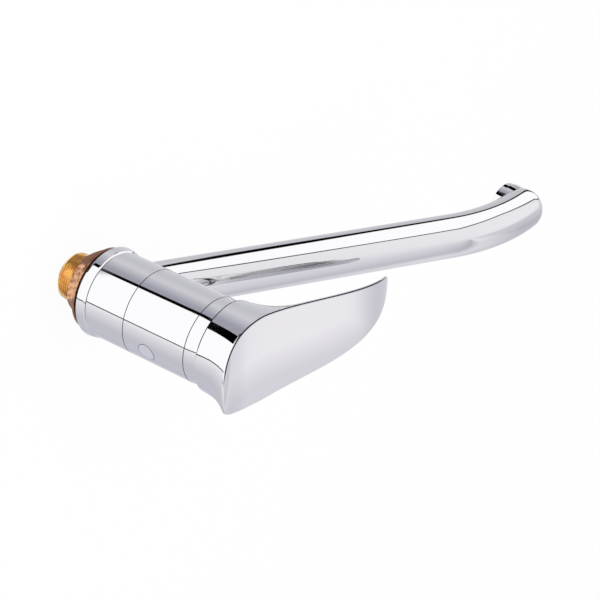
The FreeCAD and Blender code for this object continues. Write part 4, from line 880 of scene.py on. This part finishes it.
def cloth_ramp(tree, azimuth, shades):
    """Shade of the cloth at an azimuth."""
    node = add(tree, "ValToRGB", {"Fac": azimuth})
    stops = node.color_ramp.elements
    for _ in shades[2:]:
        stops.new(1)
    for stop, (around, code) in zip(stops, shades):
        stop.position = round_share(around)
        stop.color = colour(code)
    return node


def above(tree, elevation, outline, softness):
    """1 above an outline and 0 below it, with a soft step in degrees."""
    gap = add(tree, "Math", [elevation, outline], operation="SUBTRACT")
    return add(tree, "MapRange", [gap, -softness / 360, softness / 360, 0, 1])


print("the spout's azimuth 0 is", round(round_share(0), 3), "of the way round the curve")

# %% [markdown]
# The tent is painted in layers: the cloth, the thin seam, the black border, the bright window over them,
# and the dark table under the tap. Area lamps could light the tap in the same way, but a lamp is a square
# or a disc, and a painted cloth takes any outline.

# %% Cloth of the tent
TENT_GLOW = 1.27
WINDOW_BOTTOM_SOFT = 1.5
WINDOW_TOP_SOFT = 1.0
TOP_SEAM_SOFT = 1.0
BORDER_SOFT = 2.5
TABLE_SOFT = 4.0


def tent_directions(tree):
    """Azimuth and elevation of a point on the tent, both as shares."""
    place = add(tree, "TexCoord").outputs["Object"]
    along = add(tree, "SeparateXYZ", [add(tree, "VectorMath", [place], operation="NORMALIZE")]).outputs
    angle = add(tree, "Math", [along["Y"], along["X"]], operation="ARCTAN2")
    turned = add(tree, "Math", [angle, 1 / math.tau, 1 - FIRST_AZIMUTH / 360], operation="MULTIPLY_ADD")
    climb = add(tree, "Math", [along["Z"]], operation="ARCSINE")
    return (add(tree, "Math", [turned], operation="FRACT"),
            add(tree, "Math", [climb, 1 / math.pi, 0.5], operation="MULTIPLY_ADD"))


def tent_cloth():
    """Glowing cloth whose window, borders and shades follow the direction from the tap."""
    material = bpy.data.materials.new("tent_cloth")
    tree = empty_tree(material)
    azimuth, elevation = tent_directions(tree)
    bottom = above(tree, elevation, outline_curve(tree, azimuth, WINDOW_BOTTOM), WINDOW_BOTTOM_SOFT)
    border_bottom = above(tree, elevation, outline_curve(tree, azimuth, BORDER_BOTTOM), BORDER_SOFT)
    top = above(tree, outline_curve(tree, azimuth, WINDOW_TOP), elevation, WINDOW_TOP_SOFT)
    seam_top = above(tree, outline_curve(tree, azimuth, TOP_SEAM), elevation, TOP_SEAM_SOFT)
    table = above(tree, outline_curve(tree, azimuth, TABLE_EDGE), elevation, TABLE_SOFT)
    high = add(tree, "MapRange", [elevation, height_share(LOW_CLOTH_ENDS),
                                  height_share(HIGH_CLOTH_STARTS), 0, 1])
    shade = add(tree, "Mix", [high, cloth_ramp(tree, azimuth, LOW_CLOTH),
                              cloth_ramp(tree, azimuth, HIGH_CLOTH)], data_type="RGBA")
    for code, from_below, from_above in ((TOP_SEAM_SHADE, border_bottom, seam_top),
                                         (BORDER_SHADE, border_bottom, top),
                                         (WINDOW_SHADE, bottom, top), (TABLE_SHADE, 1.0, table)):
        share = add(tree, "Math", [from_below, from_above], operation="MULTIPLY")
        shade = add(tree, "Mix", [share, shade, code], data_type="RGBA")
    add(tree, "OutputMaterial", {"Surface": add(tree, "Emission", [shade, TENT_GLOW])})
    return material


print("the cloth glows at", TENT_GLOW)

# %% [markdown]
# The tent is one ball round the tap. Only mirrors see it: it lights nothing else and hides nothing from the
# camera.

# %% Light tent
TENT_RADIUS = 1.5
TENT_CENTRE = Vector((60, 0, 60)) * MM

shape = bmesh.new()
bmesh.ops.create_icosphere(shape, subdivisions=5, radius=TENT_RADIUS)
tent = new_object("tent", shape)
tent.location = TENT_CENTRE
tent.data.materials.append(tent_cloth())
tent.visible_camera = False
tent.visible_diffuse = False
tent.visible_transmission = False
tent.visible_shadow = False
print("tent of", 2 * TENT_RADIUS, "m across")

# %% [markdown]
# One soft lamp, high on the window's side, casts the faint shadow on the floor. The chrome doesn't mirror
# it, because the window is already painted on the tent.

# %% Lamp
LAMP_AZIMUTH = 120
LAMP_ELEVATION = 60
LAMP_DISTANCE = 1.2
LAMP_SIZE = 1.2
LAMP_POWER = 8

a, e = math.radians(LAMP_AZIMUTH), math.radians(LAMP_ELEVATION)
to_lamp = Vector((math.cos(e) * math.cos(a), math.cos(e) * math.sin(a), math.sin(e)))
lamp = bpy.data.objects.new("key", bpy.data.lights.new("key", "AREA"))
lamp.data.size = LAMP_SIZE
lamp.data.energy = LAMP_POWER
lamp.location = TENT_CENTRE + to_lamp * LAMP_DISTANCE
lamp.rotation_euler = to_lamp.to_track_quat("Z", "Y").to_euler()
lamp.visible_glossy = False
bpy.context.scene.collection.objects.link(lamp)
print("lamp at", lamp.location)
